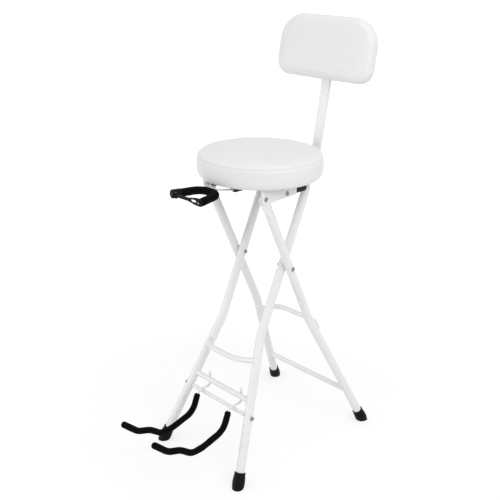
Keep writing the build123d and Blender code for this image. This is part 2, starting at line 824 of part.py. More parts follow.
pad_front = -half_thick
pad_rear = half_thick - backrest_board_thickness
pad = at(0, pad_front, 0) * rounded_panel(0, backrest_pad_thickness)
front_rim = pad.faces().sort_by(Axis.Y)[0].edges()
pad = fillet(front_rim, backrest_pad_roll)
crown_radius = ((backrest_width / 2) ** 2 + backrest_crown**2) / (2 * backrest_crown)
pad = pad & (at(0, pad_front + crown_radius, 0) * Sphere(crown_radius))
rear_board = at(0, pad_rear, 0) * rounded_panel(backrest_board_inset, backrest_board_thickness)
backrest_pad = tilt_frame * pad
backrest_board = tilt_frame * rear_board

post_axis_offset = half_thick + post_thickness / 2
tilt = radians(backrest_tilt)
post_base_y = backrest_behind_seat + post_axis_offset * cos(tilt)
post_base_z = backrest_height - post_axis_offset * sin(tilt)
post_top_along = backrest_tall / 2 - post_top_margin
post_top = (0, post_base_y + post_top_along * sin(tilt), post_base_z + post_top_along * cos(tilt))
post_low_z = board_bottom - post_thickness / 2
post_corner_y = post_base_y - (post_base_z - post_low_z) * tan(tilt)
post_front_y = seat_diameter / 2 - post_reach_under_seat
post_route = FilletPolyline(
    post_top, (0, post_corner_y, post_low_z), (0, post_front_y, post_low_z), radius=post_bend
)
post_plane = Plane(origin=post_route @ 0, x_dir=(1, 0, 0), z_dir=post_route % 0)
post = sweep(post_plane * RectangleRounded(post_width, post_thickness, post_corner), path=post_route)
post -= block(
    -post_width,
    post_width,
    post_front_y - overrun,
    seat_diameter / 2,
    board_bottom,
    board_bottom + overrun,
)

back_bolts = []
for level in (-post_bolt_pitch / 2, post_bolt_pitch / 2):
    bolt = Rotation(90, 0, 0) * (
        Rotation(180, 0, 0) * dome(post_bolt_head_radius, post_bolt_head_height)
        + extrude(Circle(post_bolt_radius), post_thickness + backrest_board_thickness)
    )
    back_bolts.append(tilt_frame * (at(0, half_thick + post_thickness, level) * bolt))
seat_bolts = []
for y in (post_front_y + seat_bolt_inset, post_front_y + seat_bolt_inset + seat_bolt_pitch):
    seat_bolts.append(
        screw(
            0,
            y,
            board_bottom - post_thickness,
            post_bolt_radius,
            post_thickness + board_thickness - soft_gap,
            post_bolt_head_radius,
            post_bolt_head_height,
        )
    )
for bolt in back_bolts:
    post -= bolt
    backrest_board -= bolt
for bolt in seat_bolts:
    post -= bolt
    board -= bolt
for item in bracket_screws:
    board -= item
for item in saddle_screws + guide_screws:
    board -= item
bracket_right = mirrored(bracket)
for item in bracket_screws:
    bracket -= item
    bracket_right -= item
saddle_right = mirrored(saddle)
for item in saddle_screws:
    saddle -= item
    saddle_right -= item
guide_right = mirrored(guide)
for item in guide_screws:
    guide -= item
    guide_right -= item
catch -= bracket

nodes = {
    "seat_cushion": [cushion],
    "seat_board": [board],
    "seat_bracket_left": [bracket],
    "seat_bracket_right": [bracket_right],
    "bracket_cross_rod": [cross_rod],
    "bracket_screws": bracket_screws,
    "seat_pivot_rivets": both(seat_rivet),
    "seat_pivot_washers": both(seat_washer),
    "frame_catch_left": [catch],
    "frame_catch_right": [mirrored(catch)],
    "top_tube_saddle_left": [saddle],
    "top_tube_saddle_right": [saddle_right],
    "saddle_screws": saddle_screws,
    "yoke_guide_left": [guide],
    "yoke_guide_right": [guide_right],
    "guide_screws": guide_screws,
    "front_leg_left": [front_leg],
    "front_leg_right": [mirrored(front_leg)],
    "front_top_tube": [front_top],
    "front_crossbar": [front_crossbar],
    "front_stretcher": [front_stretcher],
    "front_foot_left": [front_foot],
    "front_foot_right": [mirrored(front_foot)],
    "pivot_bolts": both(pivot_bolt),
    "pivot_nuts": both(pivot_nut),
    "pivot_spacer_left": [pivot_spacer],
    "pivot_spacer_right": [mirrored(pivot_spacer)],
    "rear_leg_left": [rear_leg],
    "rear_leg_right": [mirrored(rear_leg)],
    "rear_crossbar": [rear_crossbar],
    "rear_stretcher": [rear_stretcher],
    "rear_foot_left": [rear_foot],
    "rear_foot_right": [mirrored(rear_foot)],
    "backrest_pad": [backrest_pad],
    "backrest_board": [backrest_board],
    "backrest_post": [post],
    "backrest_bolts": back_bolts,
    "post_seat_bolts": seat_bolts,
    "yoke_rod": [yoke_rod],
    "yoke_foam": [yoke_foam],
    "yoke_stem": [stem],
    "yoke_carrier": [carrier],
    "carrier_stop_collars": collars,
    "strap_cap": [strap_cap],
    "strap_pin": [strap_pin],
    "strap_stud": [stud],
    "yoke_strap": [strap],
    "cradle_axle": [axle],
    "cradle_axle_nuts": axle_nuts,
    "cradle_hinge_tube": [hinge_tube],
    "cradle_arm_left": [cradle_arm],
    "cradle_arm_right": [mirrored(cradle_arm)],
    "cradle_foam_left": [cradle_foam],
    "cradle_foam_right": [mirrored(cradle_foam)],
}

# The origin is on the floor at the middle of the overall box
boxes = [piece.bounding_box() for pieces in nodes.values() for piece in pieces]
low_y = min(box.min.Y for box in boxes)
high_y = max(box.max.Y for box in boxes)
low_z = min(box.min.Z for box in boxes)
origin_shift = Location((0, -(low_y + high_y) / 2, -low_z))
for name, pieces in nodes.items():
    solids = [solid for piece in pieces for solid in (origin_shift * piece).solids()]
    shape = solids[0] if len(solids) == 1 else Compound(children=solids)
    export_step(shape, f"parts/{name}.step")

places = {
    "shift": (0, origin_shift.position.Y, origin_shift.position.Z),
    "crossing_pivot": (0, pivot_behind_seat, pivot_height),
    "seat_pivot": (0, seat_pivot_y, seat_pivot_z),
    "cradle_hinge": (0, hinge_y, hinge_z),
    "strap_pin": (pin.X, pin.Y, yoke_height),
    "front_sole": (front_foot_half_width, front_foot_y, 0),
    "rear_sole": (rear_foot_half_width, rear_foot_y, 0),
    "yoke_base": (0, base_y, yoke_height),
    "yoke_tip": (yoke_tip_half, tip_y, yoke_height),
    "top_tube": (0, top_tube_y, top_tube_height),
}
for name, place in places.items():
    print("place", name, *(round(value, 4) for value in place))
print("box", round(low_y, 3), round(high_y, 3), round(max(box.max.Z for box in boxes), 3))
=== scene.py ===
"""Dresses the packed model of a folding stool with a backrest, a padded neck yoke and a padded cradle.

The frame's tubes, brackets and fasteners stay as they were packed and get their finishes here. The
cushion, the backrest's cover, the foam sleeves, the rubber strap, the feet and the weld beads are new
surfaces. Everything is in metres, in the frame of the packed model: +Z is up and the stool faces -Y.
"""

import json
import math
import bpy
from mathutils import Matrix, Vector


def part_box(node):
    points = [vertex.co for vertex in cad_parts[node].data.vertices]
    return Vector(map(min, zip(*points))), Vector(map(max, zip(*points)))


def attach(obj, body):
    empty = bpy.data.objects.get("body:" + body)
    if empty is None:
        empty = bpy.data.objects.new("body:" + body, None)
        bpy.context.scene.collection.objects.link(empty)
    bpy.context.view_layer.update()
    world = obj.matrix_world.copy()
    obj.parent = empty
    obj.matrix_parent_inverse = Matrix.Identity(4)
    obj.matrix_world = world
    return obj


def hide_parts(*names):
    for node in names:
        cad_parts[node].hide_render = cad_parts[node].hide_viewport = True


bl_info = {
    "name": "Folding Stool with Yoke and Cradle",
    "version": (1, 0, 0),
    "blender": (4, 5, 0),
    "location": "3D View > Sidebar > Stool",
    "description": "Soft parts, finishes and a plain studio for a folding stool",
    "category": "Add Mesh",
}

import bmesh
import bpy
import numpy as np
from bpy.props import FloatProperty, FloatVectorProperty, IntProperty, PointerProperty
from bpy.types import Operator, Panel, PropertyGroup
from mathutils import Matrix, Vector

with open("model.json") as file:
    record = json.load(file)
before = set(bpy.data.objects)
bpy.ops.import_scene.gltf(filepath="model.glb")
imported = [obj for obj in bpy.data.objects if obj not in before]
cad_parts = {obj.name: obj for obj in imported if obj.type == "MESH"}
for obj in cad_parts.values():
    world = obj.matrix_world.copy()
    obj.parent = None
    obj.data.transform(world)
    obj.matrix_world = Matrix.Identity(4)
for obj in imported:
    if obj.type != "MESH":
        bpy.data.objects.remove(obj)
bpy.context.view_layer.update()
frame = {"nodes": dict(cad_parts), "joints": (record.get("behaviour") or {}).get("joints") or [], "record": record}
JOINTS = {joint["name"]: joint for joint in frame["joints"]}
MM = 0.001

# Places of the packed model that the new pieces follow
CROSSING = Vector(JOINTS["frame_fold"]["pos_m"])
SEAT_MIDDLE_Y = CROSSING.y - 11 * MM
CRADLE_HINGE = Vector(JOINTS["cradle_fold"]["pos_m"])
FRONT_LEAN = math.radians(23.65)
REAR_LEAN = math.radians(25.28)
LEG_RADIUS = 11 * MM
BAR_RADIUS = 7 * MM
KNEE_HEIGHT = 338 * MM
FRONT_HALF_WIDTH = 70 * MM
REAR_HALF_WIDTH = 94.5 * MM
FOOT_SPREAD = 73.3 * MM


def number(label, value, text, **more):
    """A number property, with its limits and unit where it has them."""
    return FloatProperty(name=label, description=text, default=value, **more)


def size(label, millimetres, text):
    """A length property whose default is given in millimetres."""
    return number(label, millimetres * MM, text, unit="LENGTH", precision=4)


def share(label, value, text):
    """A property between nought and one."""
    return number(label, value, text, min=0, max=1, subtype="FACTOR")


def power(label, watts, text):
    """A lamp's power."""
    return number(label, watts, text, min=0, unit="POWER")


def angle(label, degrees, text):
    """An angle property whose default is given in degrees."""
    return number(label, math.radians(degrees), text, subtype="ANGLE")


def colour(label, value, text):
    """A colour property."""
    limits = {"size": 3, "min": 0, "max": 1}
    return FloatVectorProperty(name=label, description=text, default=value, subtype="COLOR", **limits)


class StoolCamera(PropertyGroup):
    """Where the camera stands and how it is framed."""

    azimuth: angle("Azimuth", 44.78, "Direction of the camera round the stool, from the front")
    elevation: angle("Elevation", 21.1, "Height of the camera above the horizon, as an angle")
    roll: angle("Roll", 0.65, "Turn of the camera about its own axis")
    distance: size("Distance", 1943.7, "Distance from the camera to the point that it looks at")
    target_side: size("Target aside", -4.64, "How far the point looked at lies to the camera's right")
    target_height: size("Target height", 527.6, "Height of the point looked at")
    target_depth: size("Target depth", 3.8, "How far the point looked at lies behind the middle of the seat")
    lens: number("Lens", 56.216, "Focal length for a 36 mm sensor, in mm")
    shift_x: number("Shift X", -0.0165, "Sideways shift of the picture")
    shift_y: number("Shift Y", -0.0033, "Upwards shift of the picture")


class StoolStudio(PropertyGroup):
    """The plain studio: lamps, surroundings and floor."""

    key_power: power("Key lamp", 25, "Power of the key lamp")
    fill_power: power("Fill lamp", 18, "Power of the fill lamp")
    top_power: power("Top lamp", 7.5, "Power of the lamp overhead")
    ambience: share("Surroundings", 0.66, "Strength of the light from all round")
    floor: colour("Floor", (0.86, 0.86, 0.86), "Colour of the floor")
    floor_glow: share("Floor glow", 0.6, "How much of the floor near the stool is plain white to the camera")
    glow_strength: number("Glow strength", 1.15, "Strength of that white", min=0)
    floor_near: size("Shadow's reach", 500, "Distance up to which the floor shows the stool's shadow in full")
    floor_far: size("White from", 1200, "Distance from which the floor is plain white to the camera")


class StoolCushion(PropertyGroup):
    """The round seat cushion."""

    seam_depth: size("Seam depth", 1.0, "How deep the seam is drawn in")
    seam_width: size("Seam width", 1.1, "Half the width of the groove at the seam")
    pucker: size("Pucker", 0.28, "Height of the small gathers beside the seam")
    unevenness: size("Unevenness", 0.3, "Height of the slow waves in the vinyl")
    stitch_pitch: size("Stitch pitch", 5.2, "Distance from one stitch to the next")
    rows: IntProperty(name="Rows", description="Rings from the top's middle to the underside", default=140)
    columns: IntProperty(name="Columns", description="Points round each ring", default=200)


class StoolBackrest(PropertyGroup):
    """The backrest's padded cover."""

    height: size("Height", 999.3, "Height of the middle of the pad")
    behind: size("Behind the seat", 224, "Distance of the middle of the pad behind the middle of the seat")
    tilt: angle("Tilt", 9.4, "Lean of the pad to the rear")
    width: size("Width", 291, "Width of the pad")
    tall: size("Tall", 148, "Height of the pad along its face")
    upper_corner: size("Upper corner", 66, "Radius of the upper corners")
    lower_corner: size("Lower corner", 34, "Radius of the lower corners")
    depth: size("Depth", 37, "Thickness of the pad with its board")
    roll: size("Roll", 14, "Width over which the cover turns from its face to its side")
    roll_depth: size("Roll depth", 16, "Depth over which the cover turns from its face to its side")
    swell: size("Swell", 2.2, "How far the cover's side bulges")
    hem: size("Hem", 4, "Radius over which the cover turns to the rear")
    crown: size("Crown", 3.5, "How far the face stands out in the middle")
    pucker: size("Pucker", 0.5, "Height of the gathers at the rear edge of a corner")
    panel_inset: size("Panel inset", 9, "How far the rear panel lies inside the outline")
    panel_thickness: size("Panel thickness", 1.2, "Thickness of the rear panel")


class StoolFoam(PropertyGroup):
    """The foam sleeves on the yoke and on the cradle's arms."""

    yoke_radius: size("Yoke sleeve", 9.4, "Radius of the sleeve on the yoke")
    cradle_radius: size("Cradle sleeve", 8, "Radius of the sleeves on the cradle's arms")
    end_rounding: size("End rounding", 2.2, "Rounding of a sleeve's cut end")
    unevenness: size("Unevenness", 0.18, "Height of the dents and swellings of the foam")
    sides: IntProperty(name="Sides", description="Points round a sleeve", default=48)


class StoolFinish(PropertyGroup):
    """Colours of the finishes."""

    paint: colour("Paint", (0.845, 0.845, 0.845), "Powder coat on the tubes")
    vinyl: colour("Vinyl", (0.835, 0.835, 0.832), "Cover of the cushion and the backrest")
    thread: colour("Thread", (0.74, 0.74, 0.73), "Sewing thread")
    cloth: colour("Dust cover", (0.012, 0.012, 0.013), "Cloth on the seat board's underside")
    rubber: colour("Rubber", (0.0030, 0.0030, 0.0032), "Feet, strap and cap")
    foam: colour("Foam", (0.0026, 0.0026, 0.0028), "Sleeves")
    plastic: colour("Plastic", (0.0075, 0.0075, 0.0078), "Catches, saddles and guides")
    spacer: colour("Spacers", (0.80, 0.80, 0.79), "Spacers between the legs")
    zinc: colour("Zinc", (0.25, 0.255, 0.265), "Plated fasteners")


SETTINGS = {
    "stool_camera": StoolCamera,
    "stool_studio": StoolStudio,
    "stool_cushion": StoolCushion,
    "stool_backrest": StoolBackrest,
    "stool_foam": StoolFoam,
    "stool_finish": StoolFinish,
}


def set_all(owner, values):
    """Sets several attributes of one thing."""
    for name, value in values.items():
        setattr(owner, name, value)


def add_object(name, data):
    """Adds an object with the given data to the scene."""
    item = bpy.data.objects.new(name, data)
    bpy.context.scene.collection.objects.link(item)
    return item


# Shader expressions


class Signal:
    """A shader socket in an expression: an operator adds the Math node that works it out."""

    def __init__(self, finish, socket):
        self.finish = finish
        self.socket = socket

    def calculate(self, operation, *values):
        return self.finish.node("ShaderNodeMath", {"operation": operation}, dict(enumerate(values)))

    def __add__(self, other):
        return self.calculate("ADD", self, other)

    def __mul__(self, other):
        return self.calculate("MULTIPLY", self, other)

    def __sub__(self, other):
        return self.calculate("SUBTRACT", self, other)

    def __rsub__(self, other):
        return self.calculate("SUBTRACT", other, self)

    __radd__ = __add__
    __rmul__ = __mul__


class Finish:
    """A material, with one method that adds any node to it."""

    def __init__(self, owner):
        """The owner is a new material, or the world."""
        self.owner = owner
        owner.use_nodes = True
        self.tree = owner.node_tree
        self.surface = self.tree.nodes.get("Principled BSDF")

    def feed(self, socket, value):
        """Links a signal to a socket, or sets the socket's own value."""
        if isinstance(value, Signal):
            self.tree.links.new(value.socket, socket)
        else:
            socket.default_value = value

    def node(self, kind, settings=None, inputs=None, output=0):
        """Adds a node, sets its settings and then its sockets, and gives one of its outputs."""
        node = self.tree.nodes.new(kind)
        set_all(node, settings or {})
        for name, value in (inputs or {}).items():
            self.feed(node.inputs[name], value)
        return Signal(self, node.outputs[output])

    def place(self, stretch=(1, 1, 1)):
        """The point on the object, with its axes stretched."""
        point = self.node("ShaderNodeTexCoord", output="Object")
        return self.node("ShaderNodeMapping", inputs={"Vector": point, "Scale": stretch})

    def noise(self, place, scale, detail=2.0, roughness=0.5):
        """Soft noise between nought and one."""
        inputs = {"Vector": place, "Scale": scale, "Detail": detail, "Roughness": roughness}
        return self.node("ShaderNodeTexNoise", inputs=inputs)

    def cells(self, place, scale, feature="F1"):
        """The distance to the nearest point, or edge, of a field of cells."""
        inputs = {"Vector": place, "Scale": scale}
        return self.node("ShaderNodeTexVoronoi", {"feature": feature}, inputs, "Distance")

    def blend(self, factor, first, second):
        """A mix of two colours."""
        inputs = {0: factor, 6: self.full(first), 7: self.full(second)}
        return self.node("ShaderNodeMix", {"data_type": "RGBA"}, inputs, 2)

    def full(self, tone):
        """A colour with its fourth number, or a signal as it is."""
        return tone if isinstance(tone, Signal) else (*tone, 1.0)

    def band(self, signal, low, high):
        """Nought below low, one above high, and smooth between."""
        inputs = {"Value": signal, "From Min": low, "From Max": high}
        return self.node("ShaderNodeMapRange", {"interpolation_type": "SMOOTHSTEP"}, inputs)

    def done(self, tone, roughness, height, depth, **fixed):
        """Feeds the surface: its colour, roughness and relief vary, and the rest are plain numbers."""
        relief = self.node("ShaderNodeBump", inputs={"Height": height, "Distance": depth, "Strength": 1.0})
        self.feed(self.surface.inputs["Base Color"], self.full(tone))
        self.feed(self.surface.inputs["Roughness"], roughness)
        self.feed(self.surface.inputs["Normal"], relief)
        for name, value in fixed.items():
            self.surface.inputs[name.replace("_", " ").title().replace("Ior", "IOR")].default_value = value
        return self.owner

    def end(self, shader):
        """Makes a shader what the owner shows, in place of the one that it came with."""
        output = next(node for node in self.tree.nodes if node.type.startswith("OUTPUT"))
        self.tree.nodes.remove(output.inputs["Surface"].links[0].from_node)
        self.tree.links.new(shader.socket, output.inputs["Surface"])
        return self.owner


def backdrop_rays(finish):
    """One for what shows the backdrop: the camera's rays, and those off a gloss or through a clear piece."""
    kinds = ("Is Camera Ray", "Is Glossy Ray", "Is Transmission Ray")
    return sum(finish.node("ShaderNodeLightPath", output=kind) for kind in kinds)


def shade(tone, factor):
    """A colour made lighter or darker."""
    return tuple(min(1.0, value * factor) for value in tone)


def paint(finish, tone):
    """Powder coat: a fine orange peel, a grain in its tone, small specks and a few dull rubbed places."""
    place = finish.place()
    peel = finish.noise(place, 900, 2, 0.4)
    cloud = finish.noise(place, 7, 3)
    rubbed = finish.band(finish.noise(place, 30, 3, 0.5), 0.4, 0.9)
    specks = finish.band(finish.cells(place, 90), 0.045, 0.02)
    clean = finish.blend(peel * 0.8 + cloud * 0.2, shade(tone, 0.993), shade(tone, 1.007))
    worn = finish.blend(rubbed * 0.04, clean, shade(tone, 0.95))
    dusty = finish.blend(specks * 0.05, worn, shade(tone, 0.6))
    return finish.done(dusty, 0.27 + rubbed * 0.03, peel, 0.00003, coat_weight=0.25, coat_roughness=0.12)


def vinyl(finish, tone):
    """Soft vinyl: a pebbled grain of small cells, pores between them and slow changes of tone."""
    place = finish.place()
    wander = finish.noise(place, 260, 2)
    pebbles = finish.cells(place, 780)
    creases = finish.band(finish.cells(place, 420, "DISTANCE_TO_EDGE"), 0.0, 0.09)
    cloud = finish.noise(place, 11, 4)
    pores = finish.band(pebbles, 0.25, 0.8)
    clean = finish.blend(cloud, shade(tone, 0.98), shade(tone, 1.012))
    grained = finish.blend(pores * 0.10, clean, shade(tone, 0.86))
    height = creases * 0.45 + wander * 0.35 - pebbles * 0.4
    return finish.done(grained, 0.40 + pores * 0.12 - cloud * 0.06, height, 0.00016, specular_ior_level=0.42)


def thread(finish, tone):
    """Sewing thread: a fine twist."""
    twist = finish.noise(finish.place((1, 1, 3)), 1800, 2)
    return finish.done(finish.blend(twist, shade(tone, 0.85), tone), 0.7, twist, 0.0001)


def dust_cover(finish, tone):
    """A black spun cloth: crossing fibres over a fine mottle, a little paler where it rubs."""
    along = finish.noise(finish.place((1, 9, 1)), 420, 3)
    across = finish.noise(finish.place((9, 1, 1)), 420, 3)
    mottle = finish.noise(finish.place(), 60, 4)
    fibres = along * across * 2.2
    tint = finish.blend(finish.band(fibres, 0.35, 0.8), tone, shade(tone, 3.2))
    worn = finish.blend(mottle * 0.4, tint, shade(tone, 1.9))
    return finish.done(worn, 0.85 - fibres * 0.1, fibres, 0.00025)


def rubber(finish, tone):
    """Moulded rubber: a satin skin with a faint grain and dust in the hollows."""
    place = finish.place()
    skin = finish.noise(place, 900, 3)
    bloom = finish.band(finish.noise(place, 26, 5, 0.65), 0.45, 0.75)
    tint = finish.blend(bloom * 0.5, tone, shade(tone, 2.6))
    return finish.done(tint, 0.42 + bloom * 0.18 + skin * 0.05, skin, 0.00006, specular_ior_level=0.1)


def foam(finish, tone):
    """Closed-cell foam: fine open cells on its skin, a dull sheen and small scuffs."""
    place = finish.place()
    cells = finish.cells(place, 1150)
    coarse = finish.noise(place, 240, 4, 0.6)
    scuffs = finish.band(finish.noise(finish.place((1, 1, 4)), 33, 5, 0.65), 0.55, 0.8)
    tint = finish.blend(scuffs * 0.5, tone, shade(tone, 2.8))
    height = coarse * 0.6 - cells * 0.8
    return finish.done(tint, 0.68 + coarse * 0.16 - scuffs * 0.1, height, 0.00028, specular_ior_level=0.05)


def plastic(finish, tone):
    """Moulded plastic: a fine spark-eroded texture and faint flow marks."""
    place = finish.place()
    texture = finish.noise(place, 1500, 2)
    flow = finish.noise(finish.place((1, 5, 1)), 40, 3)
    tint = finish.blend(flow * 0.6, tone, shade(tone, 1.7))
    return finish.done(tint, 0.38 + texture * 0.1 + flow * 0.08, texture, 0.00006, specular_ior_level=0.2)


def white_plastic(finish, tone):
    """Pale moulded plastic: a fine texture, faint flow marks and a little grime."""
    texture = finish.noise(finish.place(), 1500, 2)
    flow = finish.noise(finish.place((5, 1, 1)), 60, 3)
    tint = finish.blend(flow * 0.5, tone, shade(tone, 0.9))
    return finish.done(tint, 0.42 + texture * 0.1, texture, 0.00004, specular_ior_level=0.4)


def zinc(finish, tone):
    """Zinc plate: bright metal with a brushed grain, cloudy patches and a hint of yellow."""
    place = finish.place()
    grain = finish.noise(finish.place((6, 1, 1)), 900, 3)
    patches = finish.noise(place, 150, 4)
    warm = (tone[0], tone[1] * 0.97, tone[2] * 0.86)
    tint = finish.blend(finish.band(patches, 0.35, 0.7) * 0.5, tone, warm)
    dulled = finish.blend(grain * 0.3, tint, shade(tone, 0.7))
    return finish.done(dulled, 0.22 + patches * 0.12 + grain * 0.08, grain, 0.00003, metallic=1.0)


# Material, setting of its colour and maker of each finish; all but the last are slots of the record
FINISHES = {
    "white_paint": ("White powder coat", "paint", paint),
    "white_vinyl": ("White vinyl", "vinyl", vinyl),
    "board": ("Black dust cover", "cloth", dust_cover),
    "black_rubber": ("Black rubber", "rubber", rubber),
    "black_foam": ("Black foam", "foam", foam),
    "black_plastic": ("Black plastic", "plastic", plastic),
    "white_plastic": ("White plastic", "spacer", white_plastic),
    "zinc_steel": ("Zinc plate", "zinc", zinc),
    "thread": ("Sewing thread", "thread", thread),
}
made_finishes = {}


def material_for(name):
    """The material of a finish, made once."""
    if name not in made_finishes:
        title, setting, maker = FINISHES[name]
        tone = getattr(bpy.context.scene.stool_finish, setting)
        made_finishes[name] = maker(Finish(bpy.data.materials.new(title)), tuple(tone))
    return made_finishes[name]


# Surfaces


def turns(count):
    """Equal steps of angle once round."""
    return np.linspace(0, 2 * np.pi, count, endpoint=False)


def unit(vectors):
    """Vectors divided by their lengths."""
    return vectors / np.linalg.norm(vectors, axis=-1, keepdims=True)


def distance_along(line):
    """The distance along a line at each of its points."""
    return np.concatenate([[0], np.cumsum(np.linalg.norm(np.diff(line, axis=0), axis=1))])


def grid_faces(index, closed=False):
    """The quads of a grid of point numbers, whose last axis goes round and the one before it along.

    A quad's corners are (i, j), (i, j + 1), (i + 1, j + 1) and (i + 1, j), with j counted round, and i too
    where the grid is closed.
    """
    after = np.roll(index, -1, axis=-2)
    if not closed:
        index, after = index[..., :-1, :], after[..., :-1, :]
    corners = [index, np.roll(index, -1, axis=-1), np.roll(after, -1, axis=-1), after]
    return np.stack(corners, axis=-1).reshape(-1, 4).tolist()


def shell(name, points, faces):
    """An object from a closed mesh, with its faces turned outwards and shaded smooth."""
    mesh = bpy.data.meshes.new(name)
    mesh.from_pydata(points.reshape(-1, 3).tolist(), [], faces)
    work = bmesh.new()
    work.from_mesh(mesh)
    bmesh.ops.recalc_face_normals(work, faces=work.faces[:])
    return smooth_piece(name, mesh, work)


def smooth_piece(name, mesh, work):
    """An object from a mesh that was worked on, shaded smooth."""
    work.to_mesh(mesh)
    work.free()
    mesh.polygons.foreach_set("use_smooth", np.ones(len(mesh.polygons), bool))
    mesh.update()
    return add_object(name, mesh)


def ring_surface(name, rings, start, end):
    """A closed shell: rings of points, each joined to the next, with a point over its first and last ring.

    rings has the shape (ring, point, 3). At each end the ring is joined to its own end point by triangles.
    """
    index = np.arange(rings[..., 0].size).reshape(rings.shape[:2])
    following = np.roll(index, -1, axis=-1)
    apex = np.full(rings.shape[1], index.size)
    first = np.stack([apex, following[0], index[0]], axis=-1)
    last = np.stack([apex + 1, index[-1], following[-1]], axis=-1)
    points = np.concatenate([rings.reshape(-1, 3), [start, end]])
    return shell(name, points, grid_faces(index) + first.tolist() + last.tolist())


def tubes(name, points, closed):
    """One mesh of many tubes, closed into loops or capped; points has the shape (tube, ring, point, 3)."""
    index = np.arange(points[..., 0].size).reshape(points.shape[:3])
    caps = [] if closed else index[:, 0, ::-1].tolist() + index[:, -1].tolist()
    return shell(name, points, grid_faces(index, closed) + caps)


def dress(piece, slot, body, finish=None):
    """Gives a piece its slot, the slot's finish or another one, and the body that it rides on."""
    piece.data.materials.clear()
    piece.data.materials.append(material_for(finish or slot))
    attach(piece, body)


def read_points(mesh):
    """The points of a mesh as an array."""
    points = np.empty(3 * len(mesh.vertices), np.float32)
    mesh.vertices.foreach_get("co", points)
    return points.reshape(-1, 3).astype(float)


SETTLING_FRAMES = 20
CLOTH = {
    "quality": 5,
    "mass": 0.15,
    "tension_stiffness": 15,
    "compression_stiffness": 15,
    "shear_stiffness": 5,
    "bending_stiffness": 0.5,
    "vertex_group_mass": "Held",
    "use_pressure": True,
    "uniform_pressure_force": 1.2,
}


def settle(piece, held, most):
    """Lets a cover settle as cloth: blown up from inside, without weight, fast where held is true.

    held has the shape of the cover's rings. The middle of the face is free, and the hidden middle at the
    other end is fast. Each point keeps its move, shortened to the most that is given.
    """
    scene = bpy.context.scene
    start = read_points(piece.data)
    group = piece.vertex_groups.new(name="Held")
    group.add(np.flatnonzero(np.append(held, [False, True])).tolist(), 1.0, "REPLACE")
    cover = piece.modifiers.new("Cover", "CLOTH")
    set_all(cover.settings, CLOTH)
    cover.settings.effector_weights.gravity = 0
    cover.collision_settings.use_collision = False
    cover.point_cache.frame_start, cover.point_cache.frame_end = 1, SETTLING_FRAMES
    for moment in range(1, SETTLING_FRAMES + 1):
        scene.frame_set(moment)
    stage = piece.evaluated_get(bpy.context.evaluated_depsgraph_get())
    move = read_points(stage.data) - start
    piece.modifiers.remove(cover)
    piece.vertex_groups.remove(group)
    scene.frame_set(1)
    length = np.linalg.norm(move, axis=1, keepdims=True)
    move *= np.minimum(1, most / np.maximum(length, 1e-9))
    piece.data.vertices.foreach_set("co", (start + move).astype(np.float32).ravel())
    piece.data.update()


CURVE_STEPS = 40
ARC_STEPS = 25


def smooth_curve(knots, spacing):
    """A smooth line through points: cubic Hermite pieces with the mean slope at each point, evenly spaced."""
    knots = np.asarray(knots, float)
    along = distance_along(knots)
    slopes = np.gradient(knots, along, axis=0)
    where = np.linspace(0, along[-1], CURVE_STEPS * len(knots))
    piece = np.clip(np.searchsorted(along, where, side="right") - 1, 0, len(knots) - 2)
    width = np.diff(along)[piece][:, None]
    t = (where - along[piece])[:, None] / width
    line = (
        (2 * t**3 - 3 * t**2 + 1) * knots[piece]
        + (t**3 - 2 * t**2 + t) * width * slopes[piece]
        + (3 * t**2 - 2 * t**3) * knots[piece + 1]
        + (t**3 - t**2) * width * slopes[piece + 1]
    )
    return evenly(line, spacing)


def evenly(line, spacing):
    """The same line with its points the same distance apart."""
    along = distance_along(line)
    where = np.linspace(0, along[-1], max(2, round(along[-1] / spacing) + 1))
    return np.stack([np.interp(where, along, values) for values in line.T], axis=1)


def bent_route(corners, radii, spacing):
    """A wire bent at its corners: straight runs joined by arcs of the given radii, evenly spaced.

    An arc's point is its middle plus the two end spokes, weighted by sin((1 - t) a) / sin a and
    sin(t a) / sin a, where a is the angle of the bend.
    """
    corners = [np.asarray(corner, float) for corner in corners]
    parts = [corners[0][None]]
    for before, corner, after, radius in zip(corners[:-2], corners[1:-1], corners[2:], radii):
        back, forth = unit(before - corner), unit(after - corner)
        half = 0.5 * math.acos(np.clip(back @ forth, -1, 1))
        middle = corner + unit(back + forth) * radius / math.sin(half)
        start = corner + back * radius / math.tan(half) - middle
        stop = corner + forth * radius / math.tan(half) - middle
        turn = math.pi - 2 * half
        t = np.linspace(0, 1, ARC_STEPS)[:, None]
        parts.append(middle + (np.sin((1 - t) * turn) * start + np.sin(t * turn) * stop) / math.sin(turn))
    parts.append(corners[-1][None])
    return evenly(np.concatenate(parts), spacing)


def circles(centres, side, rise, radius, count):
    """Points round each centre, centre + radius (cos a side + sin a rise), for equal steps of a."""
    turn = turns(count)[None, :, None]
    return centres[:, None] + radius[..., None] * (np.cos(turn) * side + np.sin(turn) * rise)


def tube_rings(line, radius, count, up):
    """Circles across a line, with a radius for each point and their second direction as near up as can be."""
    ahead = unit(np.gradient(line, axis=0))
    side = unit(np.cross(ahead, up))
    return circles(line, side[:, None], np.cross(side, ahead)[:, None], radius, count)


def waves(seed, count, *grids):
    """Slow waves, between about -1 and 1: a sum of cosines over the root of their number.

    Each is the cosine of a random mix of the given coordinates plus a random phase.
    """
    draw = np.random.default_rng(seed)
    total = 0
    for _ in range(count):
        phase = draw.uniform(0, 2 * np.pi)
        total = total + np.cos(sum(grid * draw.normal() for grid in grids) + phase)
    return total / math.sqrt(count)


# The seat cushion

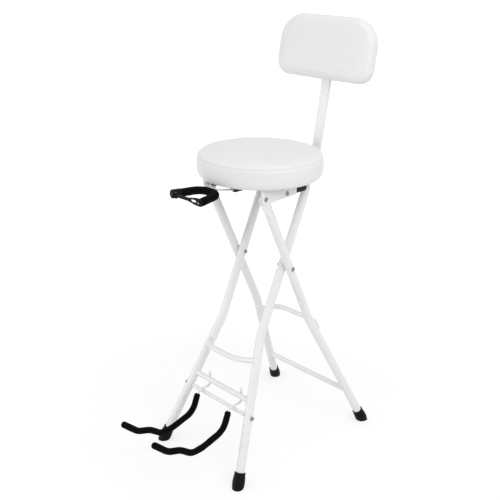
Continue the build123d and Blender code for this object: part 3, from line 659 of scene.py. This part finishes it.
# Radius and height over the cushion's top, in millimetres
CUSHION_PROFILE = [
    (0, 2.2), (40, 2.3), (78, 2.3), (104, 2.1), (118, 1.6), (127, 0.6), (135, -1.1),
    (141, -3.4), (145.6, -6.6), (148, -10), (149.1, -13), (150.1, -15.5), (150.8, -20), (151.1, -30),
    (150.9, -40), (150.0, -48), (148.2, -53.6), (145.2, -57.4), (142.9, -58.7), (141.4, -59),
]
PROFILE_LENGTH = 222 * MM
SEAM_RADIUS = 149.1 * MM
SEAM_DROP = 13 * MM
GATHERS = 58
GATHER_REACH = 6 * MM
GATHER_START = 2 * MM
SEAT_WAVES = 90
MIDDLE_FADE = 40 * MM
EDGE_FADE = 10 * MM
BOARD_GAP = 0.3 * MM
COVER_MOVE = 1.8 * MM
HELD_ROWS = 12


def cushion_rings(settings, middle, top):
    """Rings of the cushion: its profile turned about the upright axis, with a seam and gathers.

    A point moves along its normal by minus the seam's depth times exp(-(distance from the seam over
    its width) squared), plus gathers that fade with the distance from the seam, plus slow waves.
    """
    profile = smooth_curve(np.array(CUSHION_PROFILE) * MM, PROFILE_LENGTH / settings.rows)
    ahead = unit(np.gradient(profile, axis=0))
    along = distance_along(profile)[:, None]
    on_seam = np.argmin(np.hypot(profile[:, 0] - SEAM_RADIUS, profile[:, 1] + SEAM_DROP))
    distance = along - along[on_seam]
    around = turns(settings.columns)[None, :]
    groove = -settings.seam_depth * np.exp(-((distance / settings.seam_width) ** 2))
    gathers = np.cos(GATHERS * around + 2.2 * np.sin(5 * around)) * (0.6 + 0.4 * np.sin(7 * around + 1))
    near = np.exp(-np.abs(distance) / GATHER_REACH) * (1 - np.exp(-((distance / GATHER_START) ** 2)))
    spread = SEAT_WAVES * profile[:, :1]
    slow = waves(11, 7, spread * np.cos(around), spread * np.sin(around))
    fade = np.clip(profile[:, :1] / MIDDLE_FADE, 0, 1) * np.clip((along[-1] - along) / EDGE_FADE, 0, 1)
    height = groove + gathers * settings.pucker * near + slow * settings.unevenness * fade
    radius = profile[:, :1] - ahead[:, 1:] * height
    level = profile[:, 1:] + ahead[:, :1] * height + top
    return np.stack([middle.x + radius * np.cos(around), middle.y + radius * np.sin(around), level], axis=-1)


def seam_row(rings, middle, top):
    """The ring that lies nearest to the seam."""
    radius = np.hypot(rings[..., 0] - middle.x, rings[..., 1] - middle.y).mean(axis=1)
    level = rings[..., 2].mean(axis=1) - top
    return int(np.argmin(np.hypot(radius - SEAM_RADIUS, level + SEAM_DROP)))


class STOOL_OT_cushion(Operator):
    """Makes the seat cushion with its seam and stitches"""

    bl_idname = "stool.cushion"
    bl_label = "Seat cushion"

    def execute(self, context):
        settings = context.scene.stool_cushion
        low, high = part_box("seat_cushion")
        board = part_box("seat_board")[1]
        middle = (low + high) / 2
        rings = cushion_rings(settings, middle, high.z)[1:]
        rings[-1, :, 2] = low.z
        tuck = rings[-1].copy()
        centre = np.array(middle)[:2]
        tuck[:, :2] = centre + (board.x + BOARD_GAP) * unit(tuck[:, :2] - centre)
        over_board = tuck.copy()
        over_board[:, 2] = board.z + BOARD_GAP
        rings = np.concatenate([rings, tuck[None], over_board[None]])
        ends = [(middle.x, middle.y, level) for level in (high.z, board.z + BOARD_GAP)]
        cushion = ring_surface("seat_cushion_cover", rings, *ends)
        dress(cushion, "white_vinyl", "seat")
        seam = seam_row(rings, middle, high.z)
        held = np.zeros(rings.shape[:2], bool)
        held[seam - 1 : seam + 2] = held[-HELD_ROWS:] = True
        settle(cushion, held, COVER_MOVE)
        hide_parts("seat_cushion")
        settled = read_points(cushion.data)[: held.size].reshape(rings.shape)
        stitches = seam_stitches(settings, settled, seam - STITCH_ROWS)
        dress(stitches, "white_vinyl", "seat", "thread")
        return {"FINISHED"}


STITCH_ROWS = 3
STITCH_SHARE = 0.66
STITCH_RADIUS = 0.34 * MM
STITCH_LIFT = 0.04 * MM
STITCH_ARCH = 0.2 * MM
STITCH_TIP = 0.4
STITCH_RINGS = 5
STITCH_SIDES = 6


def seam_stitches(settings, rings, row):
    """Short rounded stitches along one ring of the cushion, one after another.

    Each is a tube over its share of the pitch, arched by a half sine. Its radius falls off from its middle
    as the root of one minus the squared distance, but to no less than the tip's part.
    """
    columns = len(rings[row])
    ring = np.concatenate([rings[row], rings[row, :1]])
    centre = ring[:-1].mean(axis=0)
    count = round(distance_along(ring)[-1] / settings.stitch_pitch)
    t = np.linspace(0, 1, STITCH_RINGS)[None]
    where = np.mod((np.arange(count)[:, None] + STITCH_SHARE * (t - 0.5)) / count, 1) * columns
    points = np.stack([np.interp(where, np.arange(columns + 1), values) for values in ring.T], axis=-1)
    outwards = points - centre
    outwards[..., 2] = 0
    outwards = unit(outwards)
    above, below = (np.linalg.norm(rings[near] - centre, axis=1).mean() for near in (row - 1, row + 1))
    down = unit(np.array([below - above, (rings[row + 1] - rings[row - 1])[:, 2].mean()]))
    upwards = np.array([0, 0, 1])
    normal = (down[0] * upwards - down[1] * outwards)[..., None, :]
    across = (down[0] * outwards + down[1] * upwards)[..., None, :]
    line = points[..., None, :] + normal * (STITCH_LIFT + STITCH_ARCH * np.sin(np.pi * t))[..., None, None]
    thick = STITCH_RADIUS * np.maximum(np.sqrt(1 - (2 * t - 1) ** 2), STITCH_TIP)
    turn = turns(STITCH_SIDES)[:, None]
    spokes = np.cos(turn) * across + np.sin(turn) * normal
    return tubes("seat_cushion_stitches", line + spokes * thick[..., None, None], closed=False)


# The backrest's cover

ARC_POINTS = 34
RUN_POINTS = [38, 14, 38, 14]
FACE_RINGS = 44
ROLL_RINGS = 20
SIDE_RINGS = 14
HEM_RINGS = 8
TUCK = [3 * MM, 6 * MM]
RIPPLE_LENGTH = 1.1 * MM
RIPPLE_DRIFT = 17 * MM
GATHER_DEPTH = 0.45
FACE_WAVES = 60
FACE_WAVE_HEIGHT = 0.35 * MM
BACKREST_MOVE = 1.6 * MM
PANEL_DRAW = np.array([0.8, 0.2, 0, 0, 0.2, 0.8]) * MM
PANEL_LEVELS = np.array([0, 0.1, 0.4, 0.8, 1.1, 1.2]) / 1.2
PANEL_SINK = 0.6 * MM


def rounded_outline(settings, inset):
    """The backrest's outline, drawn in by inset: four arcs of equal steps, joined by straight runs."""
    half = settings.width / 2 - inset
    tall = settings.tall / 2 - inset
    upper, lower = settings.upper_corner - inset, settings.lower_corner - inset
    arcs = []
    for radius, sign_x, sign_z in ((upper, 1, 1), (upper, -1, 1), (lower, -1, -1), (lower, 1, -1)):
        turn = np.linspace(0, np.pi / 2, ARC_POINTS)[:: sign_x * sign_z]
        x = sign_x * (half - radius + radius * np.cos(turn))
        z = sign_z * (tall - radius + radius * np.sin(turn))
        arcs.append(np.stack([x, z], axis=1))
    parts = []
    for arc, following, count in zip(arcs, arcs[1:] + arcs[:1], RUN_POINTS):
        step = np.linspace(0, 1, count + 2)[1:-1, None]
        parts += [arc, arc[-1] * (1 - step) + following[0] * step]
    return np.concatenate(parts)


def backrest_profile(settings):
    """Rings of the cover from face to rear, as three rows: part of the outline, inset and level.

    The roll is a quarter of an ellipse, inset = roll (1 - cos a) and level = depth (1 - sin a), the
    side is straight and the hem is a quarter of a circle.
    """
    roll, hem, depth = settings.roll, settings.hem, settings.depth
    turn = np.linspace(np.pi / 2, 0, ROLL_RINGS)
    hem_turn = np.linspace(0, np.pi / 2, HEM_RINGS)
    parts = [
        (np.linspace(0.02, 1, FACE_RINGS)[:-1], roll, 0),
        (1, roll * (1 - np.cos(turn)), settings.roll_depth * (1 - np.sin(turn))),
        (1, 0, np.linspace(settings.roll_depth, depth - hem, SIDE_RINGS)[1:-1]),
        (1, hem * (1 - np.cos(hem_turn)), depth - hem * (1 - np.sin(hem_turn))),
        (1, hem + np.array(TUCK), depth),
    ]
    return np.concatenate([np.stack(np.broadcast_arrays(*part)) for part in parts], axis=1)


def backrest_rings(settings):
    """Rings of the backrest's cover in the pad's own frame, X across, Y to the rear and Z up.

    The face stands out by the crown times (1 - the squared distance over half the width). The side
    swells by the sine of its depth, and the corners gather towards the rear edge, more with depth.
    """
    pull, inset, level = backrest_profile(settings)
    lines = np.array([rounded_outline(settings, draw) * part for part, draw in zip(pull, inset)])
    stand = settings.crown * (1 - (lines**2).sum(axis=2) / (settings.width / 2) ** 2)
    front = settings.crown - settings.depth / 2 - stand
    down = (level / settings.depth)[:, None]
    depth = front * (1 - down) + settings.depth / 2 * down
    rings = np.stack([lines[..., 0], depth, lines[..., 1]], axis=-1)
    outline = rounded_outline(settings, 0)
    step = np.roll(outline, -1, axis=0) - np.roll(outline, 1, axis=0)
    outwards = unit(np.stack([step[:, 1], 0 * step[:, 0], -step[:, 0]], axis=1))
    along = np.cumsum(np.linalg.norm(step, axis=1)) / 2
    cornered = np.abs(outwards[:, 0] * outwards[:, 2]) * 2
    ripple = np.cos(along / RIPPLE_LENGTH + 2 * np.sin(along / RIPPLE_DRIFT)) * (0.15 + 0.85 * cornered)
    gathers = settings.pucker * ripple * np.clip((down - GATHER_DEPTH) / (1 - GATHER_DEPTH), 0, 1) ** 2
    swell = settings.swell * np.sin(np.pi * down)
    fade = (inset[:, None] < settings.hem) * (pull[:, None] == 1)
    rings += outwards * ((swell + gathers * fade) * (down < 1))[..., None]
    slow = waves(5, 6, FACE_WAVES * rings[..., 0], FACE_WAVES * rings[..., 2]) * FACE_WAVE_HEIGHT
    rings[..., 1] += slow * np.clip(1 - 3 * down, 0, 1) * np.clip(pull[:, None] / 0.1, 0, 1)
    return rings


def tilt_frame(settings):
    """The backrest's own frame: its middle, leaned to the rear."""
    move = Matrix.Translation((0, SEAT_MIDDLE_Y + settings.behind, settings.height))
    return np.array(move @ Matrix.Rotation(-settings.tilt, 4, "X"))


def placed(points, place):
    """Points moved by a matrix."""
    return np.asarray(points) @ place[:3, :3].T + place[:3, 3]


class STOOL_OT_backrest(Operator):
    """Makes the backrest's padded cover and the panel over its rear"""

    bl_idname = "stool.backrest"
    bl_label = "Backrest cover"

    def execute(self, context):
        settings = context.scene.stool_backrest
        place = tilt_frame(settings)
        half = settings.depth / 2
        rings = placed(backrest_rings(settings), place)
        ends = [placed((0, depth, 0), place) for depth in (-half, half)]
        cover = ring_surface("backrest_cover", rings, *ends)
        dress(cover, "white_vinyl", "seat")
        held = np.repeat(backrest_profile(settings)[2] > settings.depth - settings.hem, rings.shape[1])
        settle(cover, held, BACKREST_MOVE)
        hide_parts("backrest_pad")
        level = half + PANEL_LEVELS * settings.panel_thickness - PANEL_SINK
        flat = np.array([rounded_outline(settings, settings.panel_inset + draw) for draw in PANEL_DRAW])
        panel = np.stack([flat[..., 0], level[:, None] + 0 * flat[..., 0], flat[..., 1]], axis=-1)
        ends = [placed((0, depth, 0), place) for depth in (level[0], level[-1])]
        board = ring_surface("backrest_rear_panel", placed(panel, place), *ends)
        dress(board, "board", "seat")
        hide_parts("backrest_board")
        return {"FINISHED"}


# Foam sleeves

FOAM_WAVES = 160
END_POINTS = 7


def sleeve(name, node, body, route, radius, rounding, settings, up, seed):
    """The foam sleeve in place of a node: rings round its route, uneven by slow waves, with rounded ends.

    At a distance d from an end that is under the rounding r, the radius is less by
    r (1 - sqrt(1 - (1 - d / r)^2)).
    """
    route = graded(route, rounding)
    along = distance_along(route)
    inner = np.minimum(along, along[-1] - along)
    t = np.clip(1 - inner / rounding, 0, 1)
    ends = rounding * (1 - np.sqrt(1 - t**2))
    turn = turns(settings.sides)
    run = FOAM_WAVES * along[:, None]
    uneven = waves(seed, 9, run + 0 * turn, 1.5 * np.cos(turn) + 0 * run)
    rings = tube_rings(route, radius - ends[:, None] + settings.unevenness * uneven, settings.sides, up)
    piece = ring_surface(name, rings, route[0], route[-1])
    dress(piece, "black_foam", body)
    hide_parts(node)


def graded(route, rounding):
    """Adds points close together at both ends of a route, so that its ends can be rounded.

    Their distances from the end are rounding (1 - cos a), for equal steps of a.
    """
    start, stop = route[0], route[-1]
    steps = rounding * (1 - np.cos(np.linspace(0, np.pi / 2, END_POINTS)))[:, None]
    clear = [np.linalg.norm(route - end, axis=1) > rounding for end in (start, stop)]
    core = route[clear[0] & clear[1]]
    first, last = unit(route[1] - start), unit(stop - route[-2])
    return np.concatenate([start + first * steps, core, stop - last * steps[::-1]])


YOKE_SHAPE = [(44.7, -225, 708), (28.4, -160, 708), (-28.4, -160, 708), (-44.7, -225, 708)]
YOKE_BENDS = [28, 28]
YOKE_SPACING = 1.6 * MM
CRADLE_SHAPE = [(18.75, -0.5), (37, 47), (104, 63), (138, 64), (174, 37), (210, 24), (247, -11)]
CRADLE_BENDS = [42, 60, 38, 55, 55]
CRADLE_HALF_WIDTH = 58 * MM
CRADLE_SPACING = 2.2 * MM
CRADLE_ROUNDING = 0.8


class STOOL_OT_yoke_sleeve(Operator):
    """Makes the foam sleeve of the neck yoke"""

    bl_idname = "stool.yoke_sleeve"
    bl_label = "Yoke sleeve"

    def execute(self, context):
        settings = context.scene.stool_foam
        sizes = settings.yoke_radius, settings.end_rounding, settings
        corners = np.array(YOKE_SHAPE) * MM + np.array([0, SEAT_MIDDLE_Y, 0])
        route = bent_route(corners, np.array(YOKE_BENDS) * MM, YOKE_SPACING)
        sleeve("yoke_foam_sleeve", "yoke_foam", "yoke", route, *sizes, (0, 0, 1), 3)
        return {"FINISHED"}


class STOOL_OT_cradle_sleeves(Operator):
    """Makes the foam sleeves of the cradle's two arms"""

    bl_idname = "stool.cradle_sleeves"
    bl_label = "Cradle sleeves"

    def execute(self, context):
        settings = context.scene.stool_foam
        shape = np.array(CRADLE_SHAPE) * MM
        radius = settings.cradle_radius
        sizes = radius, radius * CRADLE_ROUNDING, settings
        for side, name in ((1, "left"), (-1, "right")):
            x = np.full(len(shape), side * CRADLE_HALF_WIDTH)
            corners = np.stack([x, CRADLE_HINGE.y - shape[:, 0], CRADLE_HINGE.z - shape[:, 1]], axis=1)
            route = bent_route(corners, np.array(CRADLE_BENDS) * MM, CRADLE_SPACING)
            tip = route[-1] + unit(route[-1] - route[-2]) * radius
            route = np.concatenate([route, [tip]])
            names = f"cradle_foam_sleeve_{name}", f"cradle_foam_{name}", "cradle"
            sleeve(*names, route, *sizes, (1, 0, 0), 20 + side)
        return {"FINISHED"}


# Rubber and moulded pieces

DOUBLES = 0.01 * MM
FLAT_ANGLE = math.radians(2)
BEVEL = {
    "segments": 3,
    "limit_method": "ANGLE",
    "angle_limit": math.radians(32),
    "use_clamp_overlap": True,
    "harden_normals": True,
}


def softened(name, node, bevel):
    """A copy of a packed node with its doubles merged and its edges rounded."""
    mesh = frame["nodes"][node].data.copy()
    work = bmesh.new()
    work.from_mesh(mesh)
    bmesh.ops.remove_doubles(work, verts=work.verts[:], dist=DOUBLES)
    bmesh.ops.dissolve_limit(work, angle_limit=FLAT_ANGLE, verts=work.verts[:], edges=work.edges[:])
    piece = smooth_piece(name, mesh, work)
    set_all(piece.modifiers.new("Rounding", "BEVEL"), {"width": bevel, **BEVEL})
    return piece


# Piece, node, body, slot and rounding in millimetres of each moulding
MOULDED = [
    ("yoke_strap_band", "yoke_strap", "strap", "black_rubber", 0.9),
    ("strap_tip_cap", "strap_cap", "yoke", "black_rubber", 0.5),
    ("frame_catch_left_moulding", "frame_catch_left", "seat", "black_plastic", 0.8),
    ("frame_catch_right_moulding", "frame_catch_right", "seat", "black_plastic", 0.8),
    ("yoke_guide_left_moulding", "yoke_guide_left", "seat", "black_plastic", 0.6),
    ("yoke_guide_right_moulding", "yoke_guide_right", "seat", "black_plastic", 0.6),
    ("saddle_left_moulding", "top_tube_saddle_left", "seat", "black_plastic", 0.7),
    ("saddle_right_moulding", "top_tube_saddle_right", "seat", "black_plastic", 0.7),
]


class STOOL_OT_mouldings(Operator):
    """Rounds the edges of the rubber strap and of the moulded plastic pieces"""

    bl_idname = "stool.mouldings"
    bl_label = "Strap and mouldings"

    def execute(self, context):
        for name, node, body, slot, bevel in MOULDED:
            piece = softened(name, node, bevel * MM)
            dress(piece, slot, body)
            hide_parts(node)
        return {"FINISHED"}


# Distance along the leg and radius, in millimetres
FOOT_PROFILE = [
    (-7, 13.2), (-2, 13.9), (2, 14.7), (5, 15.2), (6.2, 15.25), (7.2, 14.9), (8.2, 15.3), (12, 15.6),
    (17, 15.4), (23, 14.9), (29, 14.2), (33, 13.7), (34.2, 13.9), (36.4, 13.9), (37.6, 13.2), (38, 12.2),
    (37.9, 11.05),
]
FOOT_TOP = 37.9 * MM
FOOT_SPACING = 0.8 * MM
FOOT_SIDES = 56
SOLE_RISE = 0.2 * MM
SOLE_REACH = 5 * MM


def foot_rings(foot, direction):
    """Rings of a foot: its profile turned about the leg's line, with what is below the floor pressed flat."""
    profile = smooth_curve(np.array(FOOT_PROFILE) * MM, FOOT_SPACING)
    side = unit(np.cross(direction, (1, 0, 0)))
    rise = np.cross(side, direction)
    rings = circles(foot + profile[:, :1] * direction, side, rise, profile[:, 1:], FOOT_SIDES)
    sole = SOLE_RISE * (1 - np.clip(profile[:, :1] / SOLE_REACH, 0, 1))
    rings[..., 2] = np.maximum(rings[..., 2], sole)
    return rings


def leg_places():
    """Each leg's body, side, foot point, direction up its lower part and direction up its frame."""
    for body, lean, half, reach in (
        ("front_frame", FRONT_LEAN, FRONT_HALF_WIDTH, -1),
        ("rear_frame", REAR_LEAN, REAR_HALF_WIDTH, 1),
    ):
        foot_y = CROSSING.y + reach * CROSSING.z * math.tan(lean)
        knee = KNEE_HEIGHT / math.cos(lean)
        upright = np.array([0, -reach * math.sin(lean), math.cos(lean)])
        for side in (1, -1):
            foot = np.array([side * (half + FOOT_SPREAD), foot_y, 0])
            top = np.array([side * half, foot_y, 0]) + upright * knee
            yield body, side, foot, unit(top - foot), upright


class STOOL_OT_feet(Operator):
    """Makes the four rubber feet"""

    bl_idname = "stool.feet"
    bl_label = "Rubber feet"

    def execute(self, context):
        for body, side, foot, direction, _ in leg_places():
            rings = foot_rings(foot, direction)
            top = foot + direction * FOOT_TOP
            place = body.removesuffix("_frame")
            word = "left" if side > 0 else "right"
            piece = ring_surface(f"{place}_foot_boot_{word}", rings, rings[0].mean(axis=0), top)
            dress(piece, "black_rubber", body)
            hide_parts(f"{place}_foot_{word}")
        return {"FINISHED"}


# Weld beads

WELD_RINGS = 72
WELD_SIDES = 10
WELD_RADIUS = 1.25 * MM


def weld_ring(centre, bar, leg, seed):
    """A bead round a bar where it meets a leg: the curve in which the two cylinders cross, made a rough tube.

    A point of the bar's surface at angle a is centre + s bar + r (cos a e + sin a f); s follows from
    its distance to the leg's line being the leg's radius.
    """
    bar, leg = unit(bar), unit(leg)
    first = unit(np.cross(bar, leg))
    second = np.cross(bar, first)
    turn = turns(WELD_RINGS)
    spoke = BAR_RADIUS * (np.cos(turn)[:, None] * first + np.sin(turn)[:, None] * second)
    flat_bar = bar - (bar @ leg) * leg
    flat_spoke = spoke - (spoke @ leg)[:, None] * leg
    a = flat_bar @ flat_bar
    b = 2 * flat_spoke @ flat_bar
    c = (flat_spoke**2).sum(axis=1) - LEG_RADIUS**2
    along = (-b + np.sqrt(np.maximum(b**2 - 4 * a * c, 0))) / (2 * a)
    line = centre + along[:, None] * bar + spoke
    inwards = spoke / BAR_RADIUS
    ahead = unit(np.roll(line, -1, axis=0) - np.roll(line, 1, axis=0))
    across = np.cross(ahead, inwards)
    ripple = WELD_RADIUS * (1 + 0.12 * np.cos(21 * turn + seed) + 0.06 * np.cos(9 * turn))
    return circles(line, inwards[:, None], across[:, None], ripple[:, None], WELD_SIDES)


# The bars welded to each frame: height of the middle in millimetres, and whether the bar is bowed
WELDS = {
    "front_frame": [(278, True), (187.5, False)],
    "rear_frame": [(290, True), (102, False)],
}
CROSSBAR_DROOP = math.radians(13.3)
CROSSBAR_OFFSET = 42 * MM
CROSSBAR_SPLAY = 34.5 * MM


class STOOL_OT_welds(Operator):
    """Makes the painted weld beads where the bars meet the legs"""

    bl_idname = "stool.welds"
    bl_label = "Weld beads"

    def execute(self, context):
        loops = {body: [] for body in WELDS}
        for body, side, foot, direction, upright in leg_places():
            out = np.cross(upright, (1, 0, 0))
            out *= np.sign(out[1]) * (1 if body == "rear_frame" else -1)
            for height, bowed in WELDS[body]:
                centre = foot + direction * (height * MM / direction[2])
                bar = np.array([-side, 0, 0], float)
                if bowed:
                    bow = out * math.cos(CROSSBAR_DROOP) - upright * math.sin(CROSSBAR_DROOP)
                    bar = bar * CROSSBAR_SPLAY + CROSSBAR_OFFSET * bow
                loops[body].append(weld_ring(centre, bar, direction, height))
        for body, rings in loops.items():
            beads = tubes(f"{body}_weld_beads", np.array(rings), closed=True)
            dress(beads, "white_paint", body)
        return {"FINISHED"}


# Hardware and stage


class STOOL_OT_finishes(Operator):
    """Gives every packed node the finish of its slot"""

    bl_idname = "stool.finishes"
    bl_label = "Finishes"

    def execute(self, context):
        for row in frame["record"]["subparts"]:
            node = frame["nodes"][row["node"]]
            node.data.materials.clear()
            node.data.materials.append(material_for(row["material_slot"]))
        return {"FINISHED"}


def lamp(name, watts, place, target, width):
    """A square soft lamp."""
    light = bpy.data.lights.new(name, "AREA")
    light.energy = watts
    light.size = width
    item = add_object(name, light)
    item.location = place
    item.rotation_euler = (Vector(target) - Vector(place)).to_track_quat("-Z", "Y").to_euler()


# Name, setting of its power, place and width in metres of each lamp
LAMPS = [
    ("Key lamp", "key_power", (2.3, -0.5, 2.1), 1.7),
    ("Fill lamp", "fill_power", (-1.5, -2.3, 0.7), 1.8),
    ("Top lamp", "top_power", (0.3, 0.2, 2.9), 1.8),
]
LAMP_TARGET = (0, SEAT_MIDDLE_Y, 0.6)
SENSOR_WIDTH = 36
FLOOR_WIDTH = 60
WHITE = (1, 1, 1, 1)


class STOOL_OT_stage(Operator):
    """Makes the camera, the lamps, the surroundings and the floor"""

    bl_idname = "stool.stage"
    bl_label = "Camera and studio"

    def execute(self, context):
        scene = context.scene
        scene.view_settings.view_transform = "Standard"
        self.camera(scene)
        self.surroundings(scene)
        for name, setting, place, width in LAMPS:
            lamp(name, getattr(scene.stool_studio, setting), place, LAMP_TARGET, width)
        return {"FINISHED"}

    def camera(self, scene):
        """The camera, from its angles and distance."""
        settings = scene.stool_camera
        turn, rise = settings.azimuth, settings.elevation
        back = Vector((math.sin(turn) * math.cos(rise), -math.cos(turn) * math.cos(rise), math.sin(rise)))
        right = Vector((math.cos(turn), math.sin(turn), 0))
        up = back.cross(right)
        target = right * settings.target_side + Vector((0, 0, settings.target_height))
        target += Vector((0, SEAT_MIDDLE_Y + settings.target_depth, 0))
        rolled_right = right * math.cos(settings.roll) + up * math.sin(settings.roll)
        rolled_up = up * math.cos(settings.roll) - right * math.sin(settings.roll)
        camera = bpy.data.cameras.new("Camera")
        camera.sensor_width = SENSOR_WIDTH
        set_all(camera, {name: getattr(settings, name) for name in ("lens", "shift_x", "shift_y")})
        item = add_object("Camera", camera)
        turned = Matrix((rolled_right, rolled_up, back)).transposed().to_4x4()
        item.matrix_world = Matrix.Translation(target + back * settings.distance) @ turned
        scene.camera = item

    def surroundings(self, scene):
        """White to the camera and in reflections, and an even pale light otherwise, over a pale floor."""
        settings = scene.stool_studio
        world = bpy.data.worlds.new("Studio")
        scene.world = world
        sky = Finish(world)
        even, white = (
            sky.node("ShaderNodeBackground", inputs={"Color": WHITE, "Strength": strength})
            for strength in (settings.ambience, 1)
        )
        sky.end(sky.node("ShaderNodeMixShader", inputs={0: backdrop_rays(sky), 1: even, 2: white}))
        bpy.ops.mesh.primitive_plane_add(size=FLOOR_WIDTH, location=(0, 0, 0))
        floor = bpy.context.object
        floor.name = "Floor"
        finish = Finish(bpy.data.materials.new("Floor"))
        tone = finish.full(tuple(settings.floor))
        matt = finish.node("ShaderNodeBsdfDiffuse", inputs={"Color": tone})
        glow = finish.node("ShaderNodeEmission", inputs={"Color": WHITE, "Strength": settings.glow_strength})
        seen = backdrop_rays(finish)
        place = finish.node("ShaderNodeTexCoord", output="Object")
        distance = finish.node("ShaderNodeVectorMath", {"operation": "LENGTH"}, {0: place}, "Value")
        far = finish.band(distance, settings.floor_near, settings.floor_far)
        white_share = settings.floor_glow + far * (1 - settings.floor_glow)
        mixed = finish.node("ShaderNodeMixShader", inputs={0: seen * white_share, 1: matt, 2: glow})
        under = finish.node("ShaderNodeNewGeometry", output="Backfacing")
        clear = finish.node("ShaderNodeBsdfTransparent")
        shown = finish.node("ShaderNodeMixShader", inputs={0: under, 1: mixed, 2: clear})
        floor.data.materials.append(finish.end(shown))


OPERATORS = [
    STOOL_OT_stage,
    STOOL_OT_finishes,
    STOOL_OT_cushion,
    STOOL_OT_backrest,
    STOOL_OT_yoke_sleeve,
    STOOL_OT_cradle_sleeves,
    STOOL_OT_mouldings,
    STOOL_OT_feet,
    STOOL_OT_welds,
]


class STOOL_PT_panel(Panel):
    """Lists the stool's operators and settings."""

    bl_label = "Stool"
    bl_idname = "STOOL_PT_panel"
    bl_space_type = "VIEW_3D"
    bl_region_type = "UI"
    bl_category = "Stool"

    def draw(self, context):
        for operator in OPERATORS:
            self.layout.operator(operator.bl_idname)
        for name, group in SETTINGS.items():
            column = self.layout.column(heading=group.__doc__)
            for key in group.__annotations__:
                column.prop(getattr(context.scene, name), key)


def register():
    """Registers the settings, the operators and the panel."""
    for name, group in SETTINGS.items():
        bpy.utils.register_class(group)
        setattr(bpy.types.Scene, name, PointerProperty(type=group))
    for item in [*OPERATORS, STOOL_PT_panel]:
        bpy.utils.register_class(item)


def unregister():
    """Takes away what register added."""
    for item in [*OPERATORS, STOOL_PT_panel]:
        bpy.utils.unregister_class(item)
    for name, group in SETTINGS.items():
        delattr(bpy.types.Scene, name)
        bpy.utils.unregister_class(group)


def main():
    """Makes the whole stool and writes the two boxes."""
    register()
    for operator in OPERATORS:
        family, action = operator.bl_idname.split(".")
        getattr(getattr(bpy.ops, family), action)()


if __name__ == "__main__":
    main()
